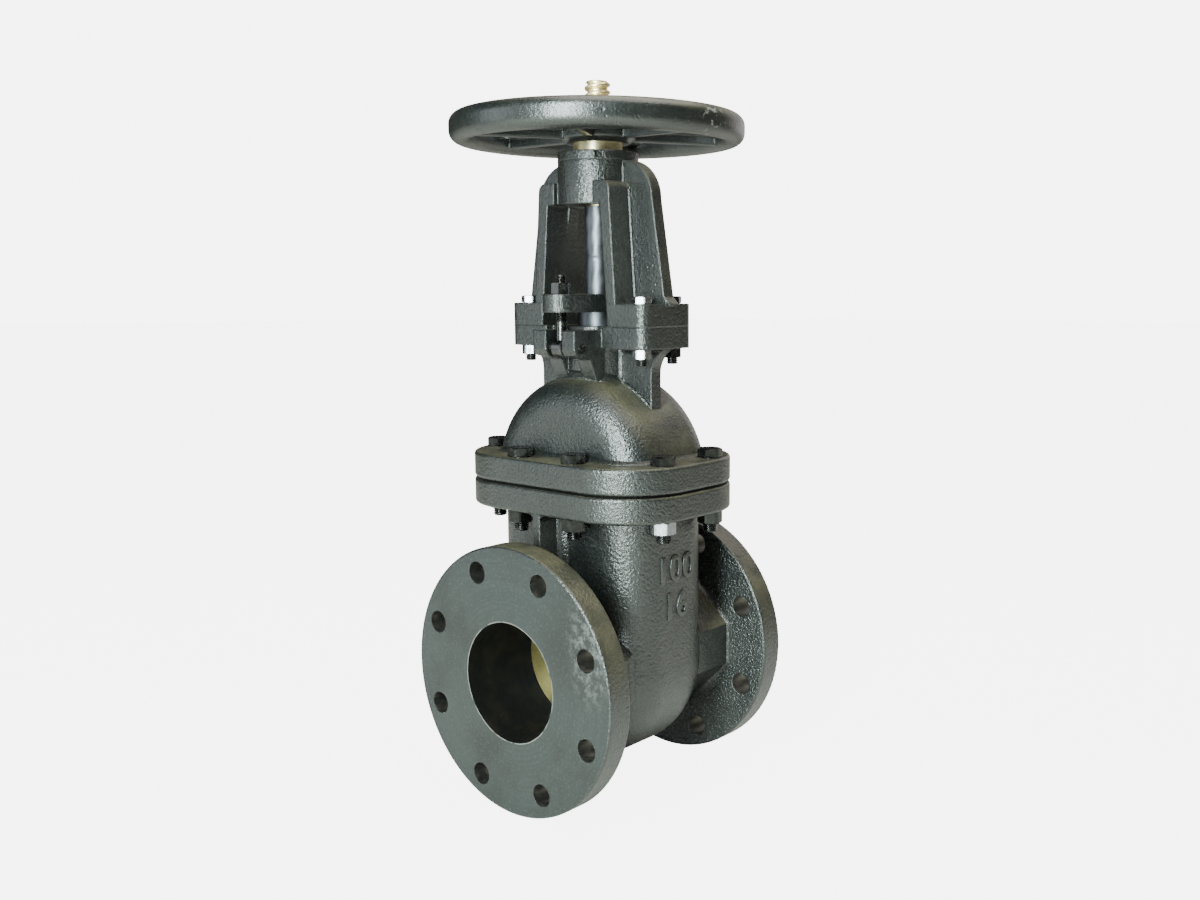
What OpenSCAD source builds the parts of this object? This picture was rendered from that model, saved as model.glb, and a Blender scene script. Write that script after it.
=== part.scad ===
// Flanged gate valve, outside screw and yoke, solid wedge, inside dimensions in millimetres.
// The origin is the centre of the inlet flange face; +X runs with the flow, +Z up the stem.

/* [Pipeline ends] */
// distance between the two flange faces
face_to_face = 228.6; // [200:0.1:300]
// outside diameter of both end flanges
flange_od = 228.6; // [180:0.1:300]
// thickness of the end flanges
flange_t = 23.8; // [16:0.1:35]
// pitch circle of the end flange bolts
flange_pcd = 190.5; // [150:0.1:260]
// diameter of an end flange bolt hole
flange_hole_d = 19.05; // [12:0.05:26]
// bolt holes in an end flange
flange_holes = 8; // [4:4:12]
// bore of the waterway
port_d = 101.6; // [60:0.1:130]
// radius worked on the outer edges of the flange rim
rim_r = 2.2; // [0.5:0.1:4]

/* [Body] */
// outside radius of the round neck between flange and chamber
neck_r = 65; // [58:0.5:75]
// how far the flat bosses on the sides of the neck stand from its axis
neck_boss_y = 73.5; // [66:0.5:80]
// width of the body chamber across the seats
body_x = 106.5; // [80:0.5:115]
// length of the body chamber across the flow
body_y = 174; // [150:0.5:190]
// radius of the chamber's long outer edges
body_r = 38; // [10:0.5:42]
// casting wall
wall = 11.5; // [8:0.5:14]
// thickness of the web between neck and bonnet joint
web_t = 8; // [6:0.5:16]
// how far the web reaches from the stem axis
web_x = 80; // [70:0.5:88]

/* [Bonnet joint] */
// height of the joint face of the body above the waterway axis
joint_z = 158; // [140:0.5:180]
// length of the joint flanges across the flow
joint_y = 224; // [200:0.5:240]
// length of the joint flanges with the flow
joint_x = 161; // [140:0.5:175]
// corner radius of the joint flanges
joint_r = 60; // [40:0.5:70]
// thickness of either joint flange
joint_t = 22; // [16:0.5:28]
// gasket thickness
gasket_t = 1.6; // [1:0.1:3]
// bolt hole diameter in the joint flanges
joint_hole_d = 14.3; // [10:0.1:18]
// the four bolts at the ends of the joint: distance from the axis with the flow, then across it
joint_end_bolt = [31, 97.5];
// the four bolts at the sides of the joint
joint_side_bolt = [67, 31.5];
// radius worked on the outer edges of the joint flanges
joint_edge_r = 2.5; // [1:0.1:5]

/* [Bonnet] */
// radius of the dome across the flow
dome_r = 90; // [80:0.5:100]
// width of the dome with the flow
dome_x = 108; // [60:0.5:116]
// radius of the dome's outer edges
dome_edge_r = 30; // [6:0.5:36]
// outside radius of the stuffing box
box_r = 31; // [26:0.5:36]
// thickness of the stiffening ribs
rib_t = 12; // [8:0.5:16]
// distance from the stem axis to the outer edge of the bonnet's ribs
rib_y = 64; // [58:0.5:70]
// underside of the bonnet's top pads above the waterway axis
pad_z = 274; // [260:0.5:290]
// top of the bonnet's pads, where the yoke stands
seat_z = 292; // [280:0.5:310]

/* [Yoke] */
// width of the yoke feet with the flow
foot_x = 64; // [50:0.5:76]
// distance from the axis to the outer end of a yoke foot
foot_y = 79; // [70:0.5:90]
// distance from the axis to the inner end of a yoke foot
foot_in_y = 38; // [34:0.5:44]
// thickness of the yoke feet
foot_t = 19; // [12:0.5:25]
// yoke bolt positions from the axis
yoke_bolt = [19.5, 65.5];
// yoke bolt hole diameter
yoke_hole_d = 10.8; // [8:0.1:14]
// top face of the yoke hub
hub_top_z = 430; // [410:0.5:450]
// underside of the yoke hub
hub_low_z = 394; // [380:0.5:410]
// outside radius of the yoke hub
hub_r = 34.5; // [30:0.5:40]

/* [Stem and wheel] */
// stem diameter
stem_d = 21.8; // [18:0.1:28]
// top of the stem with the valve shut
stem_top_z = 497; // [480:0.5:520]
// lift from shut to fully open
lift = 108; // [60:1:115]
// outside diameter of the handwheel
wheel_od = 250; // [200:1:320]
// radius of the rounded rim section
rim_section_r = 9.5; // [8:0.1:16]
// straight height between the rounded halves of the rim section
rim_section_h = 5.5; // [0:0.5:10]
// centre of the rim above the waterway axis
wheel_z = 456.5; // [450:0.5:470]
// spokes in the wheel
spokes = 6; // [4:1:7]
// angle of the first spoke
spoke_angle = -30; // [-90:1:90]
// radius worked into the corners where a spoke meets hub and rim
spoke_fillet = 8; // [3:0.5:9]
// space between the stem and the thin tube around it, from gland to hub
cover_gap = 0.7; // [0.3:0.1:2]
// wall of the thin tube
cover_t = 0.7; // [0.5:0.1:2]

/* [Wedge and seats] */
// slope of each seat face
seat_slope = 4; // [2:0.5:6]
// half thickness of the wedge on the waterway axis, over its rings
wedge_half = 19.2; // [16:0.1:21]
// gap left between wedge ring and body ring when shut
seat_gap = 0.3; // [0.2:0.05:0.6]

/* [Hidden] */
cx = face_to_face / 2;
back_x = cx - flange_t;
cav_x = body_x / 2 - wall;
cav_y = body_y / 2 - wall;
cav_r = max(body_r - wall, 4);
port_r = port_d / 2;
ring_r = port_r + 10;
ring_depth = 6;
seat_boss_x = wedge_half + 14.8;
seat_boss_r = ring_r + 9;
wedge_r = ring_r;
bonnet_z = joint_z + gasket_t;
dome_top = bonnet_z + dome_r;
dome_cav_r = dome_r - wall;
dome_cav_x = dome_x / 2 - wall;
dome_cav_edge_r = max(dome_edge_r - wall, 4);
box_bore_r = stem_d / 2 + 8.4;
rib_flare_w = foot_y - rib_y - 0.5;
rib_flare_h = 22;
box_floor = bonnet_z + dome_cav_r + 8.5;
stem_r = stem_d / 2;
stem_clear = 0.35;
cover_d = stem_d + 2 * (cover_gap + cover_t);
foot_top = seat_z + foot_t;
leg_half = foot_x / 2 - 0.5;
leg_t = 10;
shoulder_r = 33;
rib_low_y = foot_y - 1;
leg_top = hub_top_z - 18;
rib_top_y = 65.5;
sleeve_r = stem_r + 10.1;
collar_r = hub_r - 7.5;
collar_z = hub_low_z + 8.6;
ring_low_z = hub_top_z - 8.4;
retainer_t = 7.6;
wheel_low_z = hub_top_z + 15.5;
wheel_hub_h = 24;
wheel_hub_r = 32;
sleeve_top_r = stem_r + 6.1;
rim_major = wheel_od / 2 - rim_section_r;
spoke_w = 20;
gland_x = 47;
gland_low = seat_z - 20;
gland_z = seat_z + 12;
gland_t = 15;
eye_z = seat_z - 18;
eye_r = 8;
eye_t = 11;
pin_r = 3.6;
stud_r = 4.75;
bolt_clear = 0.4;
lug_in = 9.5;
lug_out = 24;
lug_x = 56.5;
button_z = ring_r + 1.2;
button_r = stem_r + 3.5;
head_half = button_r + 4;

cast_paint = [0.20, 0.21, 0.20];
bronze = [0.72, 0.55, 0.25];
steel = [0.66, 0.66, 0.64];

// ---------- helpers ----------

// a rectangle hx, hy (half sizes) with round corners
module round_rect(hx, hy, r) {
    square([2 * hx, 2 * (hy - r)], center = true);
    square([2 * (hx - r), 2 * hy], center = true);
    for (sx = [-1, 1], sy = [-1, 1])
        translate([sx * (hx - r), sy * (hy - r)]) circle(r, $fn = 64);
}

// the outline of a side face: width w inward from the edge, height h, top and bottom edges eased by e
module eased_edge(w, h, e) {
    square([w - e, h]);
    translate([0, e]) square([w, h - 2 * e]);
    for (z = [e, h - e]) translate([w - e, z]) circle(e, $fn = 32);
}

// a slab with round corners and eased outer edges, standing on z = 0
module eased_slab(hx, hy, r, h, e) {
    translate([-(hx - r), -(hy - r), 0]) cube([2 * (hx - r), 2 * (hy - r), h]);
    for (sx = [0, 1], sy = [0, 1])
        mirror([sx, 0, 0]) mirror([0, sy, 0]) translate([hx - r, hy - r, 0])
            rotate_extrude(angle = 90, $fn = 96) eased_edge(r, h, e);
    for (s = [0, 180]) rotate([0, 0, s]) {
        translate([hx - r, hy - r, 0]) rotate([90, 0, 0])
            linear_extrude(height = 2 * (hy - r)) eased_edge(r, h, e);
        translate([-(hx - r), hy - r, 0]) rotate([90, 0, 90])
            linear_extrude(height = 2 * (hx - r)) eased_edge(r, h, e);
    }
}

// outline of a plate tapering from a round middle (radius a) to round ends (radius b) at +-d in X
module lobed(a, b, d) {
    t = acos((a - b) / d);
    // the straight sides lie a hair inside the true tangents, so that they cross both circles
    ai = a - 0.15;
    bi = b - 0.15;
    circle(a, $fn = 96);
    for (s = [0, 180]) rotate([0, 0, s]) {
        translate([d, 0]) circle(b, $fn = 64);
        polygon([[0, -a / 2], [ai * cos(t), -ai * sin(t)], [d + bi * cos(t), -bi * sin(t)],
                 [d + bi * cos(t), bi * sin(t)], [ai * cos(t), ai * sin(t)], [0, a / 2]]);
    }
}

// the eight bolt places of the bonnet joint
module at_joint_bolts() {
    for (p = [joint_end_bolt, joint_side_bolt], sx = [-1, 1], sy = [-1, 1])
        translate([sx * p[0], sy * p[1], 0]) children();
}

// the four bolt places of the yoke feet
module at_yoke_bolts() {
    for (sx = [-1, 1], sy = [-1, 1]) translate([sx * yoke_bolt[0], sy * yoke_bolt[1], 0]) children();
}

// everything below is drawn about the stem axis and moved to the inlet face here
module placed() { translate([cx, 0, 0]) children(); }

// a solid of revolution about the waterway axis, drawn as (axial, radial) with the axis along +X
module about_x() { rotate([0, 90, 0]) rotate([0, 0, 90]) children(); }

// ---------- body ----------

// end flange with eased rim, its face at x = cx
module end_flange() {
    r = flange_od / 2;
    translate([back_x, 0, 0]) rotate([0, 90, 0]) rotate_extrude($fn = 192) {
        square([r - rim_r, flange_t]);
        translate([0, rim_r]) square([r, flange_t - 2 * rim_r]);
        for (z = [rim_r, flange_t - rim_r]) translate([r - rim_r, z]) circle(rim_r, $fn = 32);
    }
    // the round fillet from neck to flange
    translate([back_x, 0, 0]) rotate([0, -90, 0]) rotate_extrude($fn = 128) difference() {
        square([neck_r + 8, 8]);
        translate([neck_r + 8, 8]) circle(8, $fn = 48);
    }
}

// neck: a round pipe with a flat boss on either side
module neck() {
    h = sqrt(2) * neck_r - neck_boss_y;
    k = neck_r / sqrt(2);
    rotate([90, 0, 90]) linear_extrude(height = back_x + 1) {
        circle(neck_r, $fn = 128);
        polygon([[neck_boss_y, -h], [neck_boss_y, h], [k, k], [-k, k],
                 [-neck_boss_y, h], [-neck_boss_y, -h], [-k, -k], [k, -k]]);
    }
}

// chamber: straight above the waterway axis, half round below it
module chamber(hx, hy, r, top) {
    linear_extrude(height = top) round_rect(hx, hy, r);
    rotate([0, 90, 0]) rotate_extrude(angle = 360, $fn = 160) intersection() {
        round_rect2(hy, hx, r);
        translate([0, -hx]) square([hy, 2 * hx]);
    }
}

module round_rect2(hx, hy, r) { round_rect(hx, hy, r); }

// one end of the casting on the +X side: flange and neck, out from the stem axis
module end_outside() {
    end_flange();
    neck();
}

// webs from the necks up to the joint flange
module webs() {
    difference() {
        for (s = [0, 180]) rotate([0, 0, s]) {
            translate([0, -web_t / 2, 0]) cube([web_x, web_t, joint_z - joint_t / 2]);
            translate([0, -web_t / 2, 0]) cube([back_x, web_t, flange_od / 2 - 12]);
        }
        end_outside();
        rotate([0, 0, 180]) end_outside();
    }
}

// the hollow inside the chamber, narrowed by a boss round each body ring
module hollow() {
    difference() {
        chamber(cav_x, cav_y, cav_r, joint_z + 1);
        for (s = [0, 180]) rotate([0, 0, s]) translate([seat_boss_x, 0, 0])
            rotate([0, 90, 0]) cylinder(r = seat_boss_r, h = body_x / 2, $fn = 128);
    }
}

// middle of the body casting: the chamber, its webs and the joint flange
module body() {
    placed() difference() {
        union() {
            chamber(body_x / 2, body_y / 2, body_r, joint_z - 1);
            webs();
            translate([0, 0, joint_z - joint_t])
                eased_slab(joint_x / 2, joint_y / 2, joint_r, joint_t, joint_edge_r);
        }
        hollow();
        rotate([0, 90, 0]) cylinder(r = port_r, h = face_to_face + 2, center = true, $fn = 128);
        // recesses that take the body rings
        rotate([0, 90, 0])
            cylinder(r = ring_r, h = 2 * (seat_boss_x + ring_depth), center = true, $fn = 128);
        at_joint_bolts() translate([0, 0, joint_z - joint_t - 1])
            cylinder(d = joint_hole_d, h = joint_t + 2, $fn = 40);
    }
}

// end of the body casting, one piece with the chamber in the iron
module end_casting() {
    difference() {
        end_outside();
        chamber(body_x / 2, body_y / 2, body_r, joint_z - 1);
        rotate([0, 90, 0]) cylinder(r = port_r, h = face_to_face + 2, center = true, $fn = 128);
        for (i = [0 : flange_holes - 1]) rotate([(i + 0.5) * 360 / flange_holes, 0, 0])
            translate([cx - flange_t / 2, flange_pcd / 2, 0]) rotate([0, 90, 0])
                cylinder(d = flange_hole_d, h = flange_t + 2, center = true, $fn = 48);
    }
}

module inlet_flange() { placed() rotate([0, 0, 180]) end_casting(); }
module outlet_flange() { placed() end_casting(); }

// body ring pressed into its recess, its face sloped to suit the wedge
module body_ring() {
    difference() {
        rotate([0, 90, 0]) cylinder(r = ring_r, h = seat_boss_x + ring_depth, $fn = 128);
        rotate([0, 90, 0]) cylinder(r = port_r, h = 3 * seat_boss_x, center = true, $fn = 128);
        sloped_side(wedge_half + seat_gap, ring_r);
    }
}

module inlet_body_ring() { placed() mirror([1, 0, 0]) body_ring(); }
module outlet_body_ring() { placed() body_ring(); }

// ---------- bonnet ----------

module bonnet_gasket() {
    placed() translate([0, 0, joint_z]) difference() {
        linear_extrude(height = gasket_t) round_rect(joint_x / 2 - 1.5, joint_y / 2 - 1.5, joint_r - 1.5);
        translate([0, 0, -1]) linear_extrude(height = gasket_t + 2) round_rect(cav_x, cav_y, cav_r);
        at_joint_bolts() translate([0, 0, -1]) cylinder(d = joint_hole_d, h = gasket_t + 2, $fn = 40);
    }
}

// half-round dome about the joint centre, flat sided with eased edges, reaching below the joint by low
module dome(r, hx, e, low = 0) {
    translate([0, 0, bonnet_z]) intersection() {
        rotate([0, 90, 0]) rotate_extrude(angle = 360, $fn = 160) intersection() {
            round_rect(r, hx, e);
            translate([0, -hx]) square([r, 2 * hx]);
        }
        translate([-hx - 1, -r - 1, -low]) cube([2 * hx + 2, 2 * r + 2, r + 2 + low]);
    }
}

// one foot pad, from inner end y0 to outer end y1, between two heights
module foot_pad(y0, y1, z0, z1, r = 10) {
    translate([0, 0, z0]) linear_extrude(height = z1 - z0) {
        translate([-foot_x / 2, y0]) square([foot_x, y1 - y0 - r]);
        translate([-foot_x / 2 + r, y0]) square([foot_x - 2 * r, y1 - y0]);
        for (s = [-1, 1]) translate([s * (foot_x / 2 - r), y1 - r]) circle(r, $fn = 48);
    }
}

// lugs that hold an eyebolt, on the +X side, each on a gusset that runs down to the dome
module eyebolt_lugs() {
    for (s = [0, 1]) mirror([0, s, 0]) translate([0, lug_out, 0]) rotate([90, 0, 0])
        linear_extrude(height = lug_out - lug_in) {
            polygon([[box_r - 12, seat_z - 3], [lug_x, seat_z - 3], [lug_x, eye_z - 1],
                     [lug_x - 3, eye_z - 6], [lug_x - 9, eye_z - 7.5], [box_r + 7, eye_z - 9.5],
                     [box_r - 3, dome_top - 8], [box_r - 12, dome_top - 8]]);
        }
}

// stiffening rib between dome and pad, on the +Y side
module bonnet_rib() {
    w = rib_flare_w;
    h = rib_flare_h;
    flare_r = (w * w + h * h) / (2 * w);
    rotate([90, 0, 90]) linear_extrude(height = rib_t, center = true) difference() {
        polygon([[box_r - 6, bonnet_z + 45], [rib_y, bonnet_z + 45], [rib_y, pad_z - h],
                 [rib_y + w, pad_z], [rib_y + w, pad_z + 3], [box_r - 6, pad_z + 3]]);
        translate([rib_y + flare_r, pad_z - h]) circle(flare_r, $fn = 128);
    }
}

module bonnet_outside() {
    translate([0, 0, bonnet_z]) eased_slab(joint_x / 2, joint_y / 2, joint_r, joint_t, joint_edge_r);
    dome(dome_r, dome_x / 2, dome_edge_r);
    translate([0, 0, dome_top - 20]) cylinder(r = box_r, h = seat_z - dome_top + 20, $fn = 96);
    for (s = [0, 180]) rotate([0, 0, s]) {
        foot_pad(foot_in_y - 5, foot_y, pad_z, seat_z);
        translate([-foot_x / 2 + 8, 0, pad_z]) cube([foot_x - 16, foot_in_y, seat_z - pad_z]);
        bonnet_rib();
        eyebolt_lugs();
    }
}

module bonnet() {
    placed() difference() {
        bonnet_outside();
        dome(dome_cav_r, dome_cav_x, dome_cav_edge_r, 5);
        cylinder(r = stem_r + stem_clear, h = 400, $fn = 64);
        translate([0, 0, box_floor]) cylinder(r = box_bore_r, h = 100, $fn = 64);
        at_joint_bolts() translate([0, 0, bonnet_z - 1])
            cylinder(d = joint_hole_d, h = joint_t + 2, $fn = 40);
        at_yoke_bolts() translate([0, 0, pad_z - 1])
            cylinder(d = yoke_hole_d, h = seat_z - pad_z + 2, $fn = 40);
        for (s = [-1, 1]) translate([s * gland_x, 0, 0]) {
            // slot for the eye, then the cross hole for its pin
            translate([s > 0 ? -13 : -40, -lug_in, eye_z - 14]) cube([53, 2 * lug_in, 60]);
            translate([0, 0, eye_z]) rotate([90, 0, 0]) cylinder(r = pin_r, h = 80, center = true, $fn = 40);
        }
    }
}

// ---------- packing and gland ----------

module stem_packing() {
    placed() translate([0, 0, box_floor]) difference() {
        cylinder(r = box_bore_r, h = gland_low - box_floor, $fn = 64);
        translate([0, 0, -1]) cylinder(r = stem_r + stem_clear, h = 60, $fn = 64);
    }
}

module gland() {
    placed() difference() {
        translate([0, 0, gland_low])
            cylinder(r = box_bore_r - 0.3, h = gland_z - gland_low + 4, $fn = 64);
        cylinder(r = stem_r + stem_clear, h = 400, $fn = 64);
    }
}

module gland_flange() {
    placed() translate([0, 0, gland_z]) difference() {
        linear_extrude(height = gland_t) lobed(29, 15.5, gland_x);
        translate([0, 0, -1]) cylinder(r = stem_r + 2, h = 40, $fn = 64);
        translate([0, 0, -1]) cylinder(r = box_bore_r + 0.2, h = 5, $fn = 64);
        for (s = [-1, 1]) translate([s * gland_x, 0, -1]) cylinder(r = stud_r + bolt_clear, h = 40, $fn = 40);
    }
}

// swing bolt that pulls the gland down, on the +X side
module eyebolt() {
    translate([gland_x, 0, eye_z]) {
        difference() {
            union() {
                rotate([90, 0, 0]) cylinder(r = eye_r, h = eye_t, center = true, $fn = 64);
                cylinder(r = stud_r, h = gland_z + gland_t + 16 - eye_z, $fn = 40);
            }
            rotate([90, 0, 0]) cylinder(r = pin_r, h = 40, center = true, $fn = 40);
        }
    }
}

module gland_eyebolt_in() { placed() rotate([0, 0, 180]) eyebolt(); }
module gland_eyebolt_out() { placed() eyebolt(); }

module eyebolt_pin() {
    translate([gland_x, 0, eye_z]) rotate([90, 0, 0]) {
        cylinder(r = pin_r, h = 2 * lug_out + 2, center = true, $fn = 40);
    }
}

module eyebolt_pin_in() { placed() rotate([0, 0, 180]) eyebolt_pin(); }
module eyebolt_pin_out() { placed() eyebolt_pin(); }

module gland_nut() {
    translate([gland_x, 0, gland_z + gland_t]) difference() {
        intersection() {
            rotate([0, 0, 30]) cylinder(r = 8.25, h = 9.5, $fn = 6);
            rotate_extrude($fn = 48) polygon([[0, 0], [7.6, 0], [8.6, 1], [8.6, 8.5], [7.2, 9.5], [0, 9.5]]);
        }
        translate([0, 0, -1]) cylinder(r = stud_r, h = 20, $fn = 40);
    }
}

module gland_nut_in() { placed() rotate([0, 0, 180]) gland_nut(); }
module gland_nut_out() { placed() gland_nut(); }

// thin tube over the stem's thread, standing on the gland flange
module stem_cover() {
    placed() translate([0, 0, gland_z + gland_t]) difference() {
        cylinder(d = cover_d, h = hub_low_z - gland_z - gland_t - 0.8, $fn = 64);
        translate([0, 0, -1]) cylinder(r = stem_r + cover_gap, h = 200, $fn = 64);
    }
}

// ---------- yoke ----------

// outline of a leg's rib: straight outer edge, round shoulder into the hub, flared on to the foot
module leg_rib_shape() {
    z1 = hub_top_z - shoulder_r;
    polygon([[hub_r - 6, hub_top_z], [rib_top_y - shoulder_r, hub_top_z], [rib_top_y - shoulder_r, z1],
             [rib_top_y, z1], [rib_low_y, foot_top + 6], [rib_low_y + 6, foot_top],
             [rib_low_y + 6, foot_top - 1], [foot_in_y + 4, foot_top - 1], [hub_r - 6, leg_top - 20]]);
    translate([rib_top_y - shoulder_r, z1]) intersection() {
        circle(shoulder_r, $fn = 96);
        square([shoulder_r, shoulder_r]);
    }
}

// outline of a leg's plate: slopes in from the foot to the hub, its outer top corner rounded
module leg_plate_shape() {
    top_y = foot_in_y - 7.5;
    polygon([[foot_in_y, seat_z + 2], [foot_in_y + leg_t, seat_z + 2], [top_y + leg_t, leg_top - 7],
             [top_y + leg_t - 7, leg_top], [hub_r - 12, leg_top], [hub_r - 12, hub_low_z],
             [top_y - 0.5, hub_low_z], [top_y, hub_low_z - 5]]);
    translate([top_y + leg_t - 7, leg_top - 7]) circle(7, $fn = 48);
}

module leg() {
    rotate([90, 0, 90]) {
        linear_extrude(height = rib_t, center = true) leg_rib_shape();
        linear_extrude(height = 2 * leg_half, center = true) leg_plate_shape();
    }
    foot_pad(foot_in_y, foot_y, seat_z, foot_top);
}

module yoke() {
    placed() difference() {
        union() {
            for (s = [0, 180]) rotate([0, 0, s]) leg();
            translate([0, 0, hub_low_z]) cylinder(r = hub_r, h = hub_top_z - hub_low_z, $fn = 96);
        }
        cylinder(r = sleeve_r + bolt_clear, h = 600, $fn = 64);
        translate([0, 0, collar_z]) cylinder(r = collar_r + bolt_clear, h = 60, $fn = 64);
        at_yoke_bolts() translate([0, 0, seat_z - 1]) cylinder(d = yoke_hole_d, h = foot_t + 2, $fn = 40);
        // spot faces under the yoke bolt heads
        at_yoke_bolts() translate([0, 0, foot_top]) cylinder(r = 9.5, h = 14, $fn = 40);
    }
}

module sleeve_retainer() {
    placed() difference() {
        union() {
            translate([0, 0, hub_top_z]) cylinder(r = hub_r, h = retainer_t, $fn = 96);
            translate([0, 0, ring_low_z])
                cylinder(r = collar_r + bolt_clear, h = hub_top_z - ring_low_z, $fn = 64);
        }
        cylinder(r = sleeve_r + bolt_clear, h = 600, $fn = 64);
        // hook spanner notches
        for (a = [45 : 90 : 315]) rotate([0, 0, a]) translate([hub_r - 2.5, -3.5, hub_top_z + 1.6])
            cube([6, 7, retainer_t]);
    }
}

// ---------- turning parts ----------

module yoke_sleeve() {
    placed() difference() {
        union() {
            translate([0, 0, hub_low_z + 0.5])
                cylinder(r = sleeve_r, h = wheel_low_z - hub_low_z - 0.5, $fn = 64);
            translate([0, 0, collar_z + bolt_clear])
                cylinder(r = collar_r, h = ring_low_z - collar_z - 2 * bolt_clear, $fn = 64);
            translate([0, 0, wheel_low_z - 1]) cylinder(r = sleeve_top_r, h = wheel_hub_h + 11, $fn = 64);
        }
        cylinder(r = stem_r + stem_clear, h = 600, $fn = 64);
    }
}

// outline of a spoke's flat bar along +X, widening with round corners into hub and rim
module spoke_outline() {
    f = spoke_fillet;
    w = spoke_w / 2;
    rim_in = rim_major - rim_section_r;
    xh = sqrt((wheel_hub_r + f) * (wheel_hub_r + f) - (w + f) * (w + f));
    xr = sqrt((rim_in - f) * (rim_in - f) - (w + f) * (w + f));
    kh = wheel_hub_r / (wheel_hub_r + f);
    kr = rim_in / (rim_in - f);
    difference() {
        union() {
            translate([wheel_hub_r - 6, -w]) square([rim_major - wheel_hub_r + 4, 2 * w]);
            for (s = [0, 1]) mirror([0, s]) {
                polygon([[kh * xh - 2, 0], [xh, 0], [xh, w + f], [kh * xh, kh * (w + f)],
                         [kh * xh - 2, kh * (w + f) - 1]]);
                polygon([[xr, 0], [kr * xr + 3, 0], [kr * xr + 3, kr * (w + f)],
                         [kr * xr, kr * (w + f)], [xr, w + f]]);
            }
        }
        for (x = [xh, xr], s = [-1, 1]) translate([x, s * (w + f)]) circle(f, $fn = 48);
    }
}

// T-shaped spoke along +X from hub to rim
module spoke() {
    translate([0, 0, wheel_z]) linear_extrude(height = 5) spoke_outline();
    translate([wheel_hub_r - 4, -3.5, wheel_z - 8]) cube([rim_major - wheel_hub_r, 7, 10]);
}

module handwheel() {
    placed() difference() {
        union() {
            translate([0, 0, wheel_z]) rotate_extrude($fn = 192) translate([rim_major, 0]) {
                for (s = [-1, 1]) translate([0, s * rim_section_h / 2]) circle(rim_section_r, $fn = 64);
                square([2 * rim_section_r, rim_section_h], center = true);
            }
            translate([0, 0, wheel_low_z]) rotate_extrude($fn = 96)
                polygon([[0, 0], [wheel_hub_r - 5, 0], [wheel_hub_r, 4], [wheel_hub_r, wheel_hub_h - 4],
                         [wheel_hub_r - 4, wheel_hub_h], [0, wheel_hub_h]]);
            for (i = [0 : spokes - 1]) rotate([0, 0, spoke_angle + i * 360 / spokes]) spoke();
        }
        translate([0, 0, wheel_low_z - 1]) cylinder(r = sleeve_top_r, h = wheel_hub_h + 2, $fn = 64);
    }
}

module handwheel_nut() {
    placed() translate([0, 0, wheel_low_z + wheel_hub_h]) difference() {
        intersection() {
            rotate([0, 0, 30]) cylinder(r = 27, h = 9, $fn = 6);
            rotate_extrude($fn = 64) polygon([[0, 0], [28, 0], [28, 7.4], [24.4, 9], [0, 9]]);
        }
        translate([0, 0, -1]) cylinder(r = sleeve_top_r, h = 20, $fn = 64);
    }
}

// ---------- rising parts ----------

module stem() {
    placed() {
        rotate_extrude($fn = 64) polygon([[0, button_z], [button_r, button_z], [button_r, button_z + 10],
            [stem_r, button_z + 10],
            [stem_r, box_floor - 8.5 - lift - 12], [stem_r + 5, box_floor - 8.5 - lift - 9],
            [stem_r + 5, box_floor - 8.5 - lift - 6], [stem_r, box_floor - 8.5 - lift - 1],
            [stem_r, stem_top_z - 1.8], [stem_r - 1.8, stem_top_z], [0, stem_top_z]]);
    }
}

// the space inside the seat plane on the +X side, d from the middle on the waterway axis
module sloped_side(d, r) {
    rotate([0, seat_slope, 0]) translate([-100 + d * cos(seat_slope), 0, 0])
        cube([200, 4 * r, 4 * r], center = true);
}

// wedge plate between two sloped planes
module between_slopes(d, r) {
    intersection() {
        rotate([0, 90, 0]) cylinder(r = r, h = 80, center = true, $fn = 128);
        sloped_side(d, r);
        mirror([1, 0, 0]) sloped_side(d, r);
    }
}

module wedge() {
    placed() difference() {
        union() {
            between_slopes(wedge_half - 3, wedge_r);
            // head that carries the stem button
            translate([-head_half, -24, button_z - 22]) cube([2 * head_half, 48, 42]);
        }
        // grooves of the two rings
        for (s = [0, 1]) mirror([s, 0, 0]) rotate([0, seat_slope, 0])
            translate([(wedge_half - 6) * cos(seat_slope), 0, 0]) difference() {
                rotate([0, 90, 0]) cylinder(r = ring_r - 1, h = 20, $fn = 128);
                translate([-1, 0, 0]) rotate([0, 90, 0]) cylinder(r = port_r + 1, h = 22, $fn = 128);
            }
        // slot in the head for the button, open to one side, and for the stem above it
        translate([-button_r - 0.6, -button_r - 0.6, button_z - 0.5]) cube([2 * button_r + 1.2, 60, 11]);
        translate([-stem_r - 0.6, -stem_r - 0.6, button_z]) cube([2 * stem_r + 1.2, 60, 60]);
    }
}

module wedge_ring() {
    rotate([0, seat_slope, 0]) translate([(wedge_half - 6) * cos(seat_slope), 0, 0]) difference() {
        rotate([0, 90, 0]) cylinder(r = ring_r - 1, h = 6 * cos(seat_slope), $fn = 128);
        translate([-1, 0, 0]) rotate([0, 90, 0]) cylinder(r = port_r + 1, h = 22, $fn = 128);
    }
}

module wedge_ring_in() { placed() mirror([1, 0, 0]) wedge_ring(); }
module wedge_ring_out() { placed() wedge_ring(); }

// ---------- output ----------

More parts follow.
